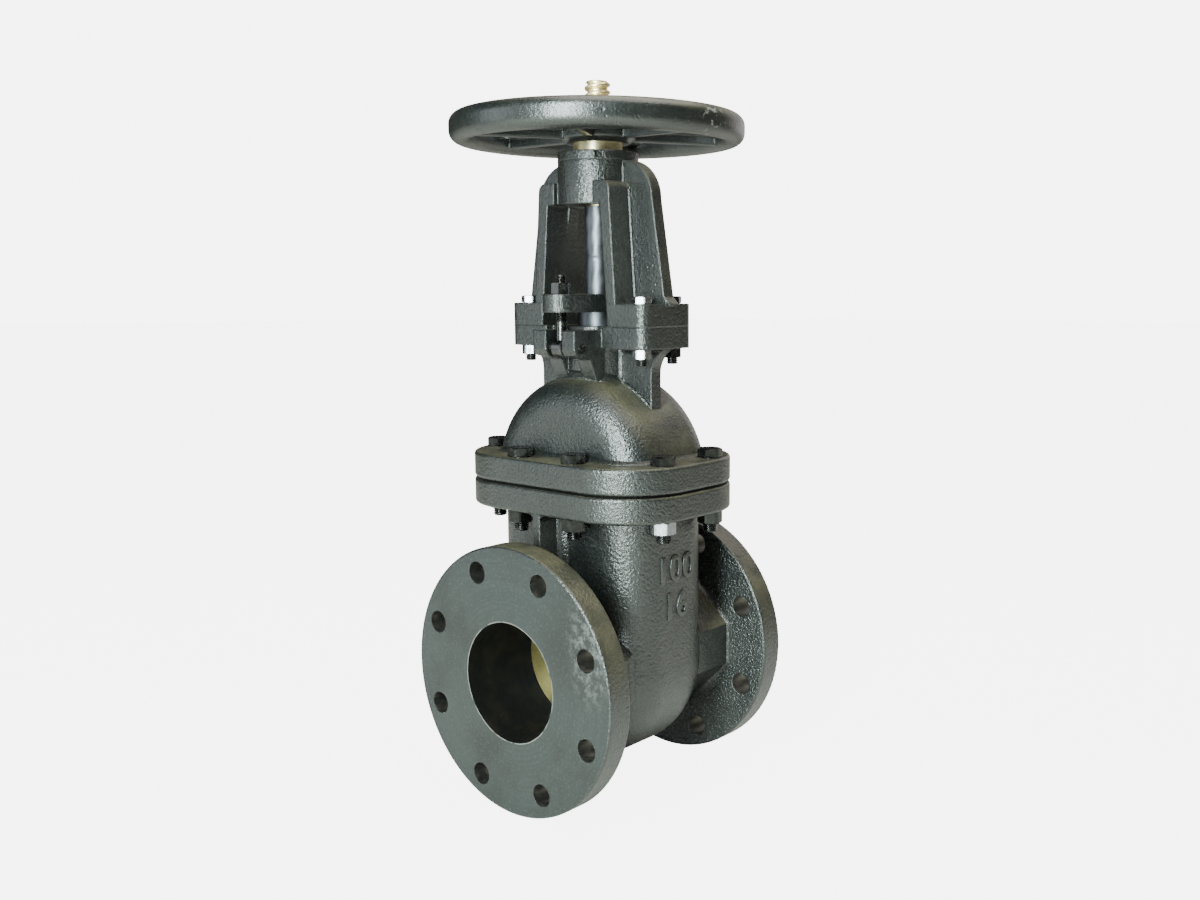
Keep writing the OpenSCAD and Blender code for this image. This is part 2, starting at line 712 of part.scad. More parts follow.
color(cast_paint) body();
color(cast_paint) inlet_flange();
color(cast_paint) outlet_flange();
color(bronze) inlet_body_ring();
color(bronze) outlet_body_ring();
color([0.06, 0.06, 0.07]) bonnet_gasket();
color(cast_paint) bonnet();
color([0.15, 0.15, 0.16]) stem_packing();
color(steel) gland();
color(cast_paint) gland_flange();
color(steel) gland_eyebolt_in();
color(steel) gland_eyebolt_out();
color(steel) eyebolt_pin_in();
color(steel) eyebolt_pin_out();
color(steel) gland_nut_in();
color(steel) gland_nut_out();
color([0.75, 0.77, 0.8]) stem_cover();
color(cast_paint) yoke();
color(cast_paint) sleeve_retainer();
color(bronze) yoke_sleeve();
color(cast_paint) handwheel();
color(steel) handwheel_nut();
color(steel) stem();
color(cast_paint) wedge();
color(bronze) wedge_ring_in();
color(bronze) wedge_ring_out();
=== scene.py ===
# %% [markdown]
# # A cast-iron gate valve with an outside screw and yoke
# The CAD model gives every casting, face and hole in true size. This notebook gives it its looks:
# the black foundry paint, the turned flange faces, bronze and zinc, and all that the solids leave
# out, which is bolts, nuts, screw threads and the round fillets of a sand casting.
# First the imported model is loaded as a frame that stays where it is. The measures of its castings
# that later cells work from are in millimetres, from the stem's axis (at STEM_X) and the waterway's.

# %% Load the frame
import math

import bmesh
import bpy
import numpy as np
from mathutils import Matrix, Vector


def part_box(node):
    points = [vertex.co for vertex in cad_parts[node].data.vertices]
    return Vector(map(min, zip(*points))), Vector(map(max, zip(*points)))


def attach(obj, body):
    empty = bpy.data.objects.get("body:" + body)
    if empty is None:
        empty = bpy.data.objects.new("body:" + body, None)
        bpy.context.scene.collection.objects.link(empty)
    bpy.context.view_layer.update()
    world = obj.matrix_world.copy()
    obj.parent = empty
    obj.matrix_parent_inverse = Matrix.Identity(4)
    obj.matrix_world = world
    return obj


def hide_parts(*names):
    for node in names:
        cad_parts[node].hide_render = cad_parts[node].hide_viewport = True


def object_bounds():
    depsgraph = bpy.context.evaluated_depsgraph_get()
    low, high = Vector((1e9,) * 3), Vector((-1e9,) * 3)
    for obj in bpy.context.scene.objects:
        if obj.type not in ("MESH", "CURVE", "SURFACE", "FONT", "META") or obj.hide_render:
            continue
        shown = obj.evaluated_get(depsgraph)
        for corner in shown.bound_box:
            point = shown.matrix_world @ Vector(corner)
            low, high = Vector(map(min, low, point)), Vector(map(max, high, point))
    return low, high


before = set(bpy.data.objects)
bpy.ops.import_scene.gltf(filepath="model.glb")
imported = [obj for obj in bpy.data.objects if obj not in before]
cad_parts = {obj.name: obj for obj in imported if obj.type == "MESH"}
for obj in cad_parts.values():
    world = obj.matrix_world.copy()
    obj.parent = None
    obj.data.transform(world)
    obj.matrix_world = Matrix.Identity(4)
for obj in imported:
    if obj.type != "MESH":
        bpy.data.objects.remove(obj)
cad_low, cad_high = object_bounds()
MM = 0.001
STEM_X = 114.3
BORE_R, BOLT_CIRCLE_R, FLANGE_BACK = 50.8, 95.25, 90.5
NECK_R, BOSS_Y, BOSS_EDGE_Z = 65.0, 73.5, 18.42
CHAMBER_X, CHAMBER_Y, CHAMBER_R = 53.25, 87.0, 38.0
DOME_X, DOME_R, DOME_EDGE_R, DOME_Z = 54.0, 90.0, 30.0, 159.6
JOINT_TOP, JOINT_FACE, JOINT_UNDER = 181.6, 158.0, 136.0
FOOT_TOP, PAD_UNDER = 311.0, 274.0
print("box in mm", [round(1000 * v) for v in cad_low], [round(1000 * v) for v in cad_high])

# %% [markdown]
# The camera stands in front of the inlet flange, to its right, a little above the yoke's feet,
# and looks slightly down. The frame is shifted a little instead of turning the camera further.

# %% Camera
def stand(thing, right, up, back, spot):
    """Puts a camera or a light at spot, on its own three axes, and into the scene."""
    thing.matrix_world = Matrix([(*row, s) for row, s in zip(zip(right, up, back), spot)] + [(0, 0, 0, 1)])
    bpy.context.scene.collection.objects.link(thing)


def place_camera(turn, pitch, spot, lens, shift):
    """A camera turned turn degrees about the upright axis, tipped down pitch degrees, at spot in metres."""
    a, e = math.radians(turn), math.radians(pitch)
    right = (math.cos(a), math.sin(a), 0)
    back = (math.sin(a) * math.cos(e), -math.cos(a) * math.cos(e), math.sin(e))
    up = tuple(np.cross(back, right))
    data = bpy.data.cameras.new("camera")
    data.sensor_width = 36
    data.lens = lens
    data.shift_x, data.shift_y = shift
    data.clip_start = 0.05
    camera = bpy.data.objects.new("camera", data)
    stand(camera, right, up, back, spot)
    bpy.context.scene.camera = camera
    return camera


camera = place_camera(-51.05, 7.74, (-0.6520, -0.7139, 0.3282), 35.91, (-0.0702, -0.0035))
print("camera at", [round(v, 3) for v in camera.location])

# %% [markdown]
# Black paint shows its form only by what it mirrors, so the light matters more than the colour.
# A tall, narrow, cool window to the left of the camera draws the sheens on wheel, hub and corners.
# Two faint panels stand where the visible sides mirror them, one overhead lights the tops, and
# one behind keeps the outlet side from going black. A pale room fills the rest. What the camera
# sees of the room is white paper, brighter than the light it gives, so that the dark castings
# are not washed out.

# %% Floor and light
def soft_panel(name, spot, target, size, watts, tint):
    """A rectangular area light, size wide and high in metres, at spot, that faces target."""
    data = bpy.data.lights.new(name, "AREA")
    data.shape = "RECTANGLE"
    data.size, data.size_y = size
    data.energy = watts
    data.color = tint
    panel = bpy.data.objects.new(name, data)
    back = np.array(spot, float) - np.array(target, float)
    back /= np.linalg.norm(back)
    right = np.cross((0, 0, 1), back)
    right /= np.linalg.norm(right)
    panel.visible_camera = False
    stand(panel, right, np.cross(back, right), back, spot)


def white_paper(share, glow):
    """Matt white that shows the camera a share of plain glow, so that it runs into the white room behind."""
    white = bpy.data.materials.new("floor_white")
    white.use_nodes = True
    tree = white.node_tree
    surface = tree.nodes["Principled BSDF"]
    surface.inputs["Base Color"].default_value = (0.79, 0.78, 0.72, 1)
    surface.inputs["Roughness"].default_value = 0.9
    shine = tree.nodes.new("ShaderNodeEmission")
    shine.inputs["Strength"].default_value = glow
    seen = tree.nodes.new("ShaderNodeMath")
    seen.operation = "MULTIPLY"
    seen.inputs[1].default_value = share
    mix = tree.nodes.new("ShaderNodeMixShader")
    tree.links.new(tree.nodes.new("ShaderNodeLightPath").outputs["Is Camera Ray"], seen.inputs[0])
    tree.links.new(seen.outputs[0], mix.inputs[0])
    tree.links.new(surface.outputs[0], mix.inputs[1])
    tree.links.new(shine.outputs[0], mix.inputs[2])
    tree.links.new(mix.outputs[0], tree.nodes["Material Output"].inputs["Surface"])
    return white


def pale_floor():
    """A large flat disc just under the flanges: points on a circle, facing up."""
    turn = np.linspace(0, 2 * np.pi, 96, endpoint=False)
    edge = np.stack([STEM_X * MM + 14 * np.cos(turn), 14 * np.sin(turn), np.full(96, cad_low.z - 0.0004)], 1)
    mesh = bpy.data.meshes.new("floor")
    mesh.from_pydata(edge.tolist(), [], [list(range(96))])
    floor = bpy.data.objects.new("floor", mesh)
    bpy.context.scene.collection.objects.link(floor)
    mesh.materials.append(white_paper(0.75, 8.0))


def paper_room(light, seen):
    """A white world that lights the scene with one strength and shows the camera another."""
    room = bpy.data.worlds.new("room")
    bpy.context.scene.world = room
    room.use_nodes = True
    tree = room.node_tree
    lit = tree.nodes["Background"]
    lit.inputs["Color"].default_value = (0.97, 1.0, 1.0, 1)
    lit.inputs["Strength"].default_value = light
    shown = tree.nodes.new("ShaderNodeBackground")
    shown.inputs["Strength"].default_value = seen
    mix = tree.nodes.new("ShaderNodeMixShader")
    tree.links.new(tree.nodes.new("ShaderNodeLightPath").outputs["Is Camera Ray"], mix.inputs[0])
    tree.links.new(lit.outputs[0], mix.inputs[1])
    tree.links.new(shown.outputs[0], mix.inputs[2])
    tree.links.new(mix.outputs[0], tree.nodes["World Output"].inputs["Surface"])


MIDDLE = (0.114, 0.0, 0.20)


def spot_at(turn, height, reach):
    """A point reach metres from MIDDLE, turn degrees from the inlet side towards the right, height degrees up."""
    t, e = math.radians(turn), math.radians(height)
    x, z = MIDDLE[0] - reach * math.cos(t) * math.cos(e), MIDDLE[2] + reach * math.sin(e)
    return (x, -reach * math.sin(t) * math.cos(e), z)


pale_floor()
paper_room(0.05, 8.0)
soft_panel("panel_window", spot_at(18, 21, 2.2), (0.114, 0.0, 0.45), (0.42, 2.1), 185, (0.84, 1.0, 0.97))
soft_panel("panel_left", spot_at(-39, 12, 2.4), MIDDLE, (1.0, 1.4), 12, (0.86, 0.95, 1.0))
soft_panel("panel_right", spot_at(125, 6, 2.4), MIDDLE, (1.4, 1.2), 1.0, (1.0, 0.88, 0.70))
soft_panel("panel_top", (0.35, -0.3, 2.4), MIDDLE, (2.2, 2.2), 60, (1.0, 0.97, 0.90))
soft_panel("panel_back", spot_at(185, 18, 2.4), MIDDLE, (1.6, 1.6), 11, (1.0, 0.98, 0.95))
print("five soft panels and a pale room")

# %% [markdown]
# Small helpers keep every shader readable: one adds a node with its inputs set or linked, one
# makes a node group with named inputs and outputs, and the others are single nodes used throughout.

# %% Shader helpers
def add_node(tree, kind, sockets=None, **settings):
    """Adds a shader node. Each entry of sockets is a value to set, or another node's output to link."""
    n = tree.nodes.new(kind)
    for key, value in settings.items():
        setattr(n, key, value)
    for key, value in (sockets or {}).items():
        if isinstance(value, bpy.types.NodeSocket):
            tree.links.new(value, n.inputs[key])
        else:
            n.inputs[key].default_value = value
    return n


def make_group(name, inputs, outputs):
    """A shader node group from (name, kind, default) inputs and (name, kind) outputs.

    Gives its tree, its input node and its output node.
    """
    tree = bpy.data.node_groups.new(name, "ShaderNodeTree")
    for label, kind, default in inputs:
        s = tree.interface.new_socket(name=label, in_out="INPUT", socket_type="NodeSocket" + kind)
        if default is not None:
            s.default_value = default
    for label, kind in outputs:
        tree.interface.new_socket(name=label, in_out="OUTPUT", socket_type="NodeSocket" + kind)
    return tree, tree.nodes.new("NodeGroupInput"), tree.nodes.new("NodeGroupOutput")


def maths(tree, operation, a, b=0.0, c=0.0, clamp=False):
    """One Math node; gives its output."""
    return add_node(tree, "ShaderNodeMath", {0: a, 1: b, 2: c}, operation=operation, use_clamp=clamp).outputs[0]


def vector_maths(tree, operation, a, b=(0, 0, 0)):
    """One Vector Math node that measures; gives its number."""
    return add_node(tree, "ShaderNodeVectorMath", {0: a, 1: b}, operation=operation).outputs["Value"]


def step_up(tree, value, low, high):
    """A soft step: 0 below low, 1 above high."""
    n = add_node(tree, "ShaderNodeMapRange", {"Value": value, "From Min": low, "From Max": high},
                 interpolation_type="SMOOTHSTEP", clamp=True)
    return n.outputs["Result"]


def noise(tree, vector, scale, detail, rough=0.5):
    """A noise texture's value, scale in features per metre."""
    return add_node(tree, "ShaderNodeTexNoise", {"Vector": vector, "Scale": scale, "Detail": detail,
                                                 "Roughness": rough}).outputs["Fac"]


def blend_colour(tree, share, a, b):
    """Mixes two colours by share."""
    n = tree.nodes.new("ShaderNodeMix")
    n.data_type = "RGBA"
    for socket, value in ((n.inputs[0], share), (n.inputs[6], a), (n.inputs[7], b)):
        if isinstance(value, bpy.types.NodeSocket):
            tree.links.new(value, socket)
        else:
            socket.default_value = value if socket.type == "VALUE" else (*value[:3], 1)
    return n.outputs[2]


print("helpers ready")

# %% [markdown]
# Sand-cast iron keeps the grain of its mould under the paint: fine grains a millimetre or
# two across, broader waves, and a few pits. One group makes that height for every casting, and
# each material chooses how strong each part of it is.

# %% Group: cast grain
def cast_grain_group():
    """Height in metres: fine noise times Grain, plus broad noise times Wave, less round pits times Pits."""
    tree, ins, outs = make_group("cast_grain", [("Vector", "Vector", None), ("Grain", "Float", 0.00008),
                                                ("Wave", "Float", 0.0003), ("Pits", "Float", 0.0002)],
                                 [("Height", "Float")])
    v = ins.outputs["Vector"]
    fine = maths(tree, "SUBTRACT", noise(tree, v, 420, 2.0, 0.6), 0.5)
    wave = maths(tree, "SUBTRACT", noise(tree, v, 90, 2.0, 0.5), 0.5)
    cells = add_node(tree, "ShaderNodeTexVoronoi", {"Vector": v, "Scale": 190.0, "Randomness": 1.0})
    rare = step_up(tree, noise(tree, v, 38, 1.0), 0.56, 0.70)
    pit = maths(tree, "MULTIPLY", step_up(tree, cells.outputs["Distance"], 0.30, 0.08), rare)
    height = maths(tree, "MULTIPLY_ADD", fine, ins.outputs["Grain"],
                   maths(tree, "MULTIPLY", wave, ins.outputs["Wave"]))
    height = maths(tree, "SUBTRACT", height, maths(tree, "MULTIPLY", pit, ins.outputs["Pits"]))
    tree.links.new(height, outs.inputs["Height"])
    return tree


cast_grain = cast_grain_group()

# %% [markdown]
# Paint wears first where hands, slings and crates rub, which is on the outer edges. The share of
# near-by solid behind a point is small on a thin edge, so a short-range occlusion looking
# inwards finds the edges, and noise breaks them into chips.

# %% Group: rubbed edges
def rubbed_edges_group():
    """Mask: edges found within Width metres looking into the solid, roughened by noise, raised by Amount."""
    tree, ins, outs = make_group("rubbed_edges", [("Vector", "Vector", None), ("Width", "Float", 0.002),
                                                  ("Amount", "Float", 0.5)], [("Mask", "Float")])
    look_in = add_node(tree, "ShaderNodeAmbientOcclusion", {"Distance": ins.outputs["Width"]},
                       inside=True, only_local=True, samples=8)
    thin = maths(tree, "SUBTRACT", 1.0, look_in.outputs["AO"])
    chips = maths(tree, "SUBTRACT", noise(tree, ins.outputs["Vector"], 160, 4.0, 0.65), 0.5)
    ragged = maths(tree, "MULTIPLY_ADD", chips, 0.9, thin)
    start = maths(tree, "SUBTRACT", 0.95, maths(tree, "MULTIPLY", ins.outputs["Amount"], 0.7))
    mask = add_node(tree, "ShaderNodeMapRange", {"Value": ragged, "From Min": start,
                                                 "From Max": maths(tree, "ADD", start, 0.12)}, clamp=True)
    tree.links.new(mask.outputs["Result"], outs.inputs["Mask"])
    return tree


rubbed_edges = rubbed_edges_group()

# %% [markdown]
# Dust settles on faces that look up, tipped a little towards the outlet and the right-hand side; its pale olive there
# also stands in as a painted sheen.

# %% Group: settled dust
def dust_and_painted_sheen_group():
    """Mask of dust and painted sheen: how far the face looks up, tipped towards +X and -Y, times noise and Amount."""
    tree, ins, outs = make_group("dust_and_painted_sheen", [("Vector", "Vector", None), ("Amount", "Float", 0.4)],
                                 [("Mask", "Float")])
    normal, dust_and_sheen_side = add_node(tree, "ShaderNodeNewGeometry").outputs["Normal"], (0.42, -0.30, 0.86)
    up = step_up(tree, vector_maths(tree, "DOT_PRODUCT", normal, dust_and_sheen_side), 0.25, 0.90)
    patch = step_up(tree, noise(tree, ins.outputs["Vector"], 32, 3.0, 0.55), 0.15, 0.85)
    mask = maths(tree, "MULTIPLY", maths(tree, "MULTIPLY", up, patch), ins.outputs["Amount"], clamp=True)
    tree.links.new(mask, outs.inputs["Mask"])
    return tree


dust_and_painted_sheen = dust_and_painted_sheen_group()

# %% [markdown]
# A lathe leaves fine rings about the axis of whatever it turned. The group counts rings from the
# distance to that axis, bends them slightly with noise so that they do not look printed, and
# gives both a height and a mask for colour.

# %% Group: lathe rings
def lathe_rings_group():
    """Rings Pitch metres apart about the X axis: a sine of the distance from the axis, broken by noise."""
    tree, ins, outs = make_group("lathe_rings", [("Vector", "Vector", None), ("Pitch", "Float", 0.0009),
                                                 ("Depth", "Float", 0.00002)],
                                 [("Height", "Float"), ("Ring mask", "Float")])
    split = add_node(tree, "ShaderNodeSeparateXYZ", {"Vector": ins.outputs["Vector"]})
    flat = add_node(tree, "ShaderNodeCombineXYZ", {"X": 0.0, "Y": split.outputs["Y"], "Z": split.outputs["Z"]})
    turns = maths(tree, "DIVIDE", vector_maths(tree, "LENGTH", flat.outputs[0]), ins.outputs["Pitch"])
    turns = maths(tree, "ADD", turns, maths(tree, "MULTIPLY", noise(tree, ins.outputs["Vector"], 40, 1.0), 0.6))
    wave = maths(tree, "SINE", maths(tree, "MULTIPLY", turns, 2 * math.pi))
    level = maths(tree, "FLOOR", turns)
    band = add_node(tree, "ShaderNodeTexWhiteNoise", {"W": level}, noise_dimensions="1D").outputs["Value"]
    tree.links.new(maths(tree, "MULTIPLY", wave, ins.outputs["Depth"]), outs.inputs["Height"])
    tree.links.new(band, outs.inputs["Ring mask"])
    return tree


lathe_rings = lathe_rings_group()
print("groups", [g.name for g in bpy.data.node_groups])

# %% [markdown]
# The castings carry a black, slightly greenish foundry paint with a satin sheen. Under it the grain
# shows as bump, over it lie a thin dust, whose pale olive is partly a painted sheen on the tops, and
# rubbed edges where grey iron comes through, with a touch of brown where the bare iron has begun to rust.

# %% Material: black foundry paint
def new_material(name):
    """An empty material with a Principled shader; gives material, tree, shader and the object coordinates."""
    material = bpy.data.materials.new(name)
    material.use_nodes = True
    tree = material.node_tree
    shader = tree.nodes["Principled BSDF"]
    place = tree.nodes.new("ShaderNodeTexCoord").outputs["Object"]
    return material, tree, shader, place


def use_group(tree, group, **values):
    """Places a shared group with its own values; gives its outputs."""
    return add_node(tree, "ShaderNodeGroup", values, node_tree=group).outputs


def bump_from(tree, height, normal=None):
    """A Bump node over a height in metres, on top of another normal if given; gives the normal."""
    sockets = {"Height": height, "Distance": 1.0, "Strength": 1.0}
    if normal is not None:
        sockets["Normal"] = normal
    return add_node(tree, "ShaderNodeBump", sockets).outputs["Normal"]


def worn_paint(tree, place, colour, wear):
    """Lays rubbed edges over a colour: grey iron with brown specks where the paint is gone."""
    edge = use_group(tree, rubbed_edges, Vector=place, Width=0.0022, Amount=wear)["Mask"]
    rust = step_up(tree, noise(tree, place, 120, 3.0), 0.52, 0.62)
    bare = blend_colour(tree, rust, (0.30, 0.31, 0.29), (0.16, 0.105, 0.06))
    return blend_colour(tree, edge, colour, bare)


def foundry_paint(name, wear=0.2, dust_and_sheen_amount=0.50, tone=(0.0042, 0.0056, 0.0053), tone_2=(0.0095, 0.0105, 0.0088),
                  grain=0.0008, wave=0.0002, soft_edge=0.0024, specked=0.22, chipped=None):
    """Black satin paint over cast grain.

    Two tones in broad patches, paler grain tops, dust that also paints a sheen, then worn edges and chips near one
    spot.
    """
    material, tree, shader, place = new_material(name)
    cast = use_group(tree, cast_grain, Vector=place, Grain=grain, Wave=wave, Pits=0.0003)
    # Dust on up-facing faces; its pale olive is partly a painted sheen on the tops and the right-hand side.
    dust_and_sheen = use_group(tree, dust_and_painted_sheen, Vector=place, Amount=dust_and_sheen_amount)["Mask"]
    patches = step_up(tree, noise(tree, place, 26, 5.0, 0.6), 0.35, 0.72)
    colour = blend_colour(tree, patches, tone, tone_2)
    specks = step_up(tree, noise(tree, place, 480, 3.0, 0.7), 0.50, 0.70)
    colour = blend_colour(tree, maths(tree, "MULTIPLY", specks, specked), colour, (0.055, 0.060, 0.052))
    colour = blend_colour(tree, dust_and_sheen, colour, (0.180, 0.158, 0.085))
    if wear > 0:
        colour = worn_paint(tree, place, colour, wear)
    if chipped:
        away = vector_maths(tree, "DISTANCE", place, chipped)
        chips = maths(tree, "MULTIPLY", step_up(tree, away, 0.022, 0.006),
                      step_up(tree, noise(tree, place, 260, 3.0), 0.58, 0.64))
        colour = blend_colour(tree, chips, colour, (0.20, 0.20, 0.18))
    tree.links.new(colour, shader.inputs["Base Color"])
    dull = maths(tree, "MULTIPLY_ADD", noise(tree, place, 70, 3.0), 0.16, 0.255)
    dull = maths(tree, "ADD", dull, maths(tree, "MULTIPLY", dust_and_sheen, 0.35), clamp=True)
    tree.links.new(dull, shader.inputs["Roughness"])
    shader.inputs["IOR"].default_value = 1.75
    eased = add_node(tree, "ShaderNodeBevel", {"Radius": soft_edge}, samples=6).outputs["Normal"]
    tree.links.new(bump_from(tree, cast["Height"], eased), shader.inputs["Normal"])
    return material


paint = foundry_paint("black_foundry_paint")
round_paint = foundry_paint("black_paint_in_corners", wear=0.0, dust_and_sheen_amount=0.2)
figure_paint = foundry_paint("black_paint_on_figures", wear=0.0, dust_and_sheen_amount=0.3, grain=0.0003, soft_edge=0.0004)
wheel_paint = foundry_paint("black_wheel_paint", grain=0.0003, wave=0.0001, chipped=(0.116, -0.122, 0.461))
# Paler tones and more pale specks for the backs of the flanges: painted light on faces in the body's shade.
lightened_back_paint = foundry_paint("paint_lightened_as_light_behind_flanges", tone=(0.0095, 0.0115, 0.0115), tone_2=(0.018, 0.020, 0.018),
                           grain=0.0014, specked=0.55)
print("made", paint.name)

# %% [markdown]
# The end faces were turned flat and painted over with the rest: a smooth dark grey on which the
# rings of the lathe still show faintly. One side was dragged over something, which left a pale
# patch round a bolt hole, a brown smear beside it and a few scratches. Along the rim of the
# bore a pale ring is painted in as the highlight that its edge catches.

# %% Material: painted turned face
def painted_face(name):
    """Smooth dark grey over lathe rings about X: smudges, smear, specks, scuffs, scratches, painted highlight on bore
    edge.
    """
    material, tree, shader, place = new_material(name)
    rings = use_group(tree, lathe_rings, Vector=place, Pitch=0.0011, Depth=0.000010)
    smudge = step_up(tree, noise(tree, place, 20, 5.0, 0.62), 0.40, 0.75)
    middle = add_node(tree, "ShaderNodeMapping", {"Vector": place, "Location": (0, 0.140, -0.036),
                                                  "Scale": (1, 1.5, 0.75)}).outputs[0]
    away = vector_maths(tree, "LENGTH", middle)
    scuffed = maths(tree, "MULTIPLY", step_up(tree, away, 0.046, 0.012),
                    step_up(tree, noise(tree, place, 150, 6.0, 0.75), 0.45, 0.62))
    streak = add_node(tree, "ShaderNodeMapping", {"Vector": place, "Rotation": (0.7, 0, 0), "Scale": (1, 14, 1)})
    scratch = step_up(tree, noise(tree, streak.outputs[0], 60, 2.0), 0.74, 0.77)
    colour = blend_colour(tree, rings["Ring mask"], (0.015, 0.019, 0.019), (0.021, 0.0255, 0.025))
    colour = blend_colour(tree, smudge, colour, (0.0115, 0.0128, 0.0115))
    smear = vector_maths(tree, "DISTANCE", place, (0, -0.072, 0.042))
    smear = maths(tree, "MULTIPLY", step_up(tree, smear, 0.052, 0.006), 0.6)
    colour = blend_colour(tree, smear, colour, (0.0085, 0.0082, 0.0066))
    specks = step_up(tree, noise(tree, place, 420, 3.0, 0.7), 0.52, 0.72)
    colour = blend_colour(tree, maths(tree, "MULTIPLY", specks, 0.55), colour, (0.060, 0.066, 0.060))
    colour = blend_colour(tree, maths(tree, "MULTIPLY", scuffed, 0.45), colour, (0.20, 0.21, 0.20))
    colour = blend_colour(tree, maths(tree, "MULTIPLY", scratch, 0.25), colour, (0.30, 0.30, 0.28))
    # A pale ring just outside the bore, broken by noise: a painted highlight on the bore's edge.
    flat = add_node(tree, "ShaderNodeVectorMath", {0: place, 1: (0, 1, 1)}, operation="MULTIPLY").outputs[0]
    painted_bore_edge_highlight = maths(tree, "MULTIPLY", step_up(tree, vector_maths(tree, "LENGTH", flat), 0.0519, 0.0513),
                      step_up(tree, noise(tree, place, 90, 3.0), 0.36, 0.52))
    colour = blend_colour(tree, painted_bore_edge_highlight, colour, (0.17, 0.17, 0.15))
    colour = worn_paint(tree, place, colour, 0.55)
    tree.links.new(colour, shader.inputs["Base Color"])
    dirty = maths(tree, "MAXIMUM", smudge, maths(tree, "MULTIPLY", smear, 2.0))
    tree.links.new(maths(tree, "MULTIPLY_ADD", dirty, 0.14, 0.37), shader.inputs["Roughness"])
    eased = add_node(tree, "ShaderNodeBevel", {"Radius": 0.0016}, samples=6).outputs["Normal"]
    tree.links.new(bump_from(tree, rings["Height"], eased), shader.inputs["Normal"])
    return material


face_paint = painted_face("painted_turned_face")

# %% [markdown]
# Inside, the castings are raw iron with a brown bloom, its colour taken almost to black as painted shade. Drilled
# holes are brighter.

# %% Materials: raw iron inside, bronze, zinc and steel
def raw_iron(name, tone, tone_2, shine=0.5):
    """Dark unpainted iron with grain and brown bloom; shine is the strength of its reflections."""
    material, tree, shader, place = new_material(name)
    grain = use_group(tree, cast_grain, Vector=place, Grain=0.0002, Wave=0.0006, Pits=0.0003)
    bloom = step_up(tree, noise(tree, place, 60, 4.0), 0.45, 0.7)
    tree.links.new(blend_colour(tree, bloom, tone, tone_2), shader.inputs["Base Color"])
    shader.inputs["Metallic"].default_value = 0.3
    shader.inputs["Roughness"].default_value = 0.50
    shader.inputs["Specular IOR Level"].default_value = shine
    tree.links.new(bump_from(tree, grain["Height"]), shader.inputs["Normal"])
    return material


def bare_metal(name, tone, tone_2, dull, grain_scale=300, brushed=(1, 1, 1), soil=0.3,
               soil_tone=(0.06, 0.055, 0.05)):
    """A machined metal: two tones, brushed along the low entries of brushed, and soiled in patches."""
    material, tree, shader, place = new_material(name)
    drawn = add_node(tree, "ShaderNodeMapping", {"Vector": place, "Scale": brushed}).outputs[0]
    lines = noise(tree, drawn, grain_scale, 3.0, 0.6)
    patch = step_up(tree, noise(tree, place, 110, 4.0, 0.6), 0.5, 0.75)
    colour = blend_colour(tree, lines, tone, tone_2)
    colour = blend_colour(tree, maths(tree, "MULTIPLY", patch, soil), colour, soil_tone)
    tree.links.new(colour, shader.inputs["Base Color"])
    tree.links.new(maths(tree, "SUBTRACT", 1.0, maths(tree, "MULTIPLY", patch, soil)), shader.inputs["Metallic"])
    tree.links.new(maths(tree, "MULTIPLY_ADD", lines, 0.18, dull), shader.inputs["Roughness"])
    tree.links.new(bump_from(tree, maths(tree, "MULTIPLY", lines, 0.00002)), shader.inputs["Normal"])
    return material


# Near-black iron for the bore and chamber: painted shade deep inside the casting.
shaded_bore_iron = raw_iron("iron_inside_darkened_as_shade", (0.0050, 0.0048, 0.0044), (0.012, 0.010, 0.007))
drilled_iron = bare_metal("drilled_iron", (0.09, 0.092, 0.088), (0.16, 0.15, 0.13), 0.40, soil=0.55,
                          soil_tone=(0.10, 0.065, 0.035))
bronze = bare_metal("bronze", (0.78, 0.63, 0.32), (0.98, 0.87, 0.60), 0.22, brushed=(1, 1, 8), soil=0.22,
                    soil_tone=(0.20, 0.14, 0.07))
zinc = bare_metal("bright_zinc", (0.20, 0.21, 0.225), (0.46, 0.47, 0.50), 0.16, soil=0.3)
oiled_steel = bare_metal("oiled_steel", (0.035, 0.035, 0.035), (0.15, 0.15, 0.145), 0.18, soil=0.5,
                         soil_tone=(0.03, 0.027, 0.022))
bolt_black = bare_metal("blackened_bolt", (0.018, 0.019, 0.018), (0.075, 0.076, 0.072), 0.16, soil=0.5,
                        soil_tone=(0.018, 0.017, 0.015))
foil = bare_metal("silver_foil", (0.075, 0.08, 0.09), (0.15, 0.155, 0.175), 0.31, grain_scale=120, soil=0.1)
stem_bronze = bare_metal("screw_bronze", (0.90, 0.72, 0.36), (1.0, 0.89, 0.58), 0.32, brushed=(1, 1, 8), soil=0.15,
                         soil_tone=(0.30, 0.21, 0.09))
ring_bronze = bare_metal("turned_ring_bronze", (0.86, 0.70, 0.22), (0.98, 0.86, 0.42), 0.22, soil=0.05)
gasket_sheet = raw_iron("graphited_gasket", (0.002, 0.002, 0.002), (0.003, 0.003, 0.003), 0.05)
braid = raw_iron("graphited_braid", (0.010, 0.010, 0.010), (0.018, 0.018, 0.018), 0.2)
print("materials", len(bpy.data.materials))

# %% [markdown]
# Each CAD node now gets its finish. The body is one casting with several finishes, so its faces
# are sorted by where they lie: the two end faces and the joint face are turned, the bore and
# chamber are raw iron painted almost black as the shade deep inside them, the bolt holes are
# drilled, the backs of the flanges have a paler paint that paints in light they lack, and the rest
# is painted black.

# %% Finish the CAD nodes
def face_centres(mesh):
    """Centre and normal of every polygon as two arrays, centres in millimetres about the stem axis."""
    count = len(mesh.polygons)
    centre, normal = np.empty(count * 3), np.empty(count * 3)
    mesh.polygons.foreach_get("center", centre)
    mesh.polygons.foreach_get("normal", normal)
    return centre.reshape(-1, 3) / MM - (STEM_X, 0, 0), normal.reshape(-1, 3)


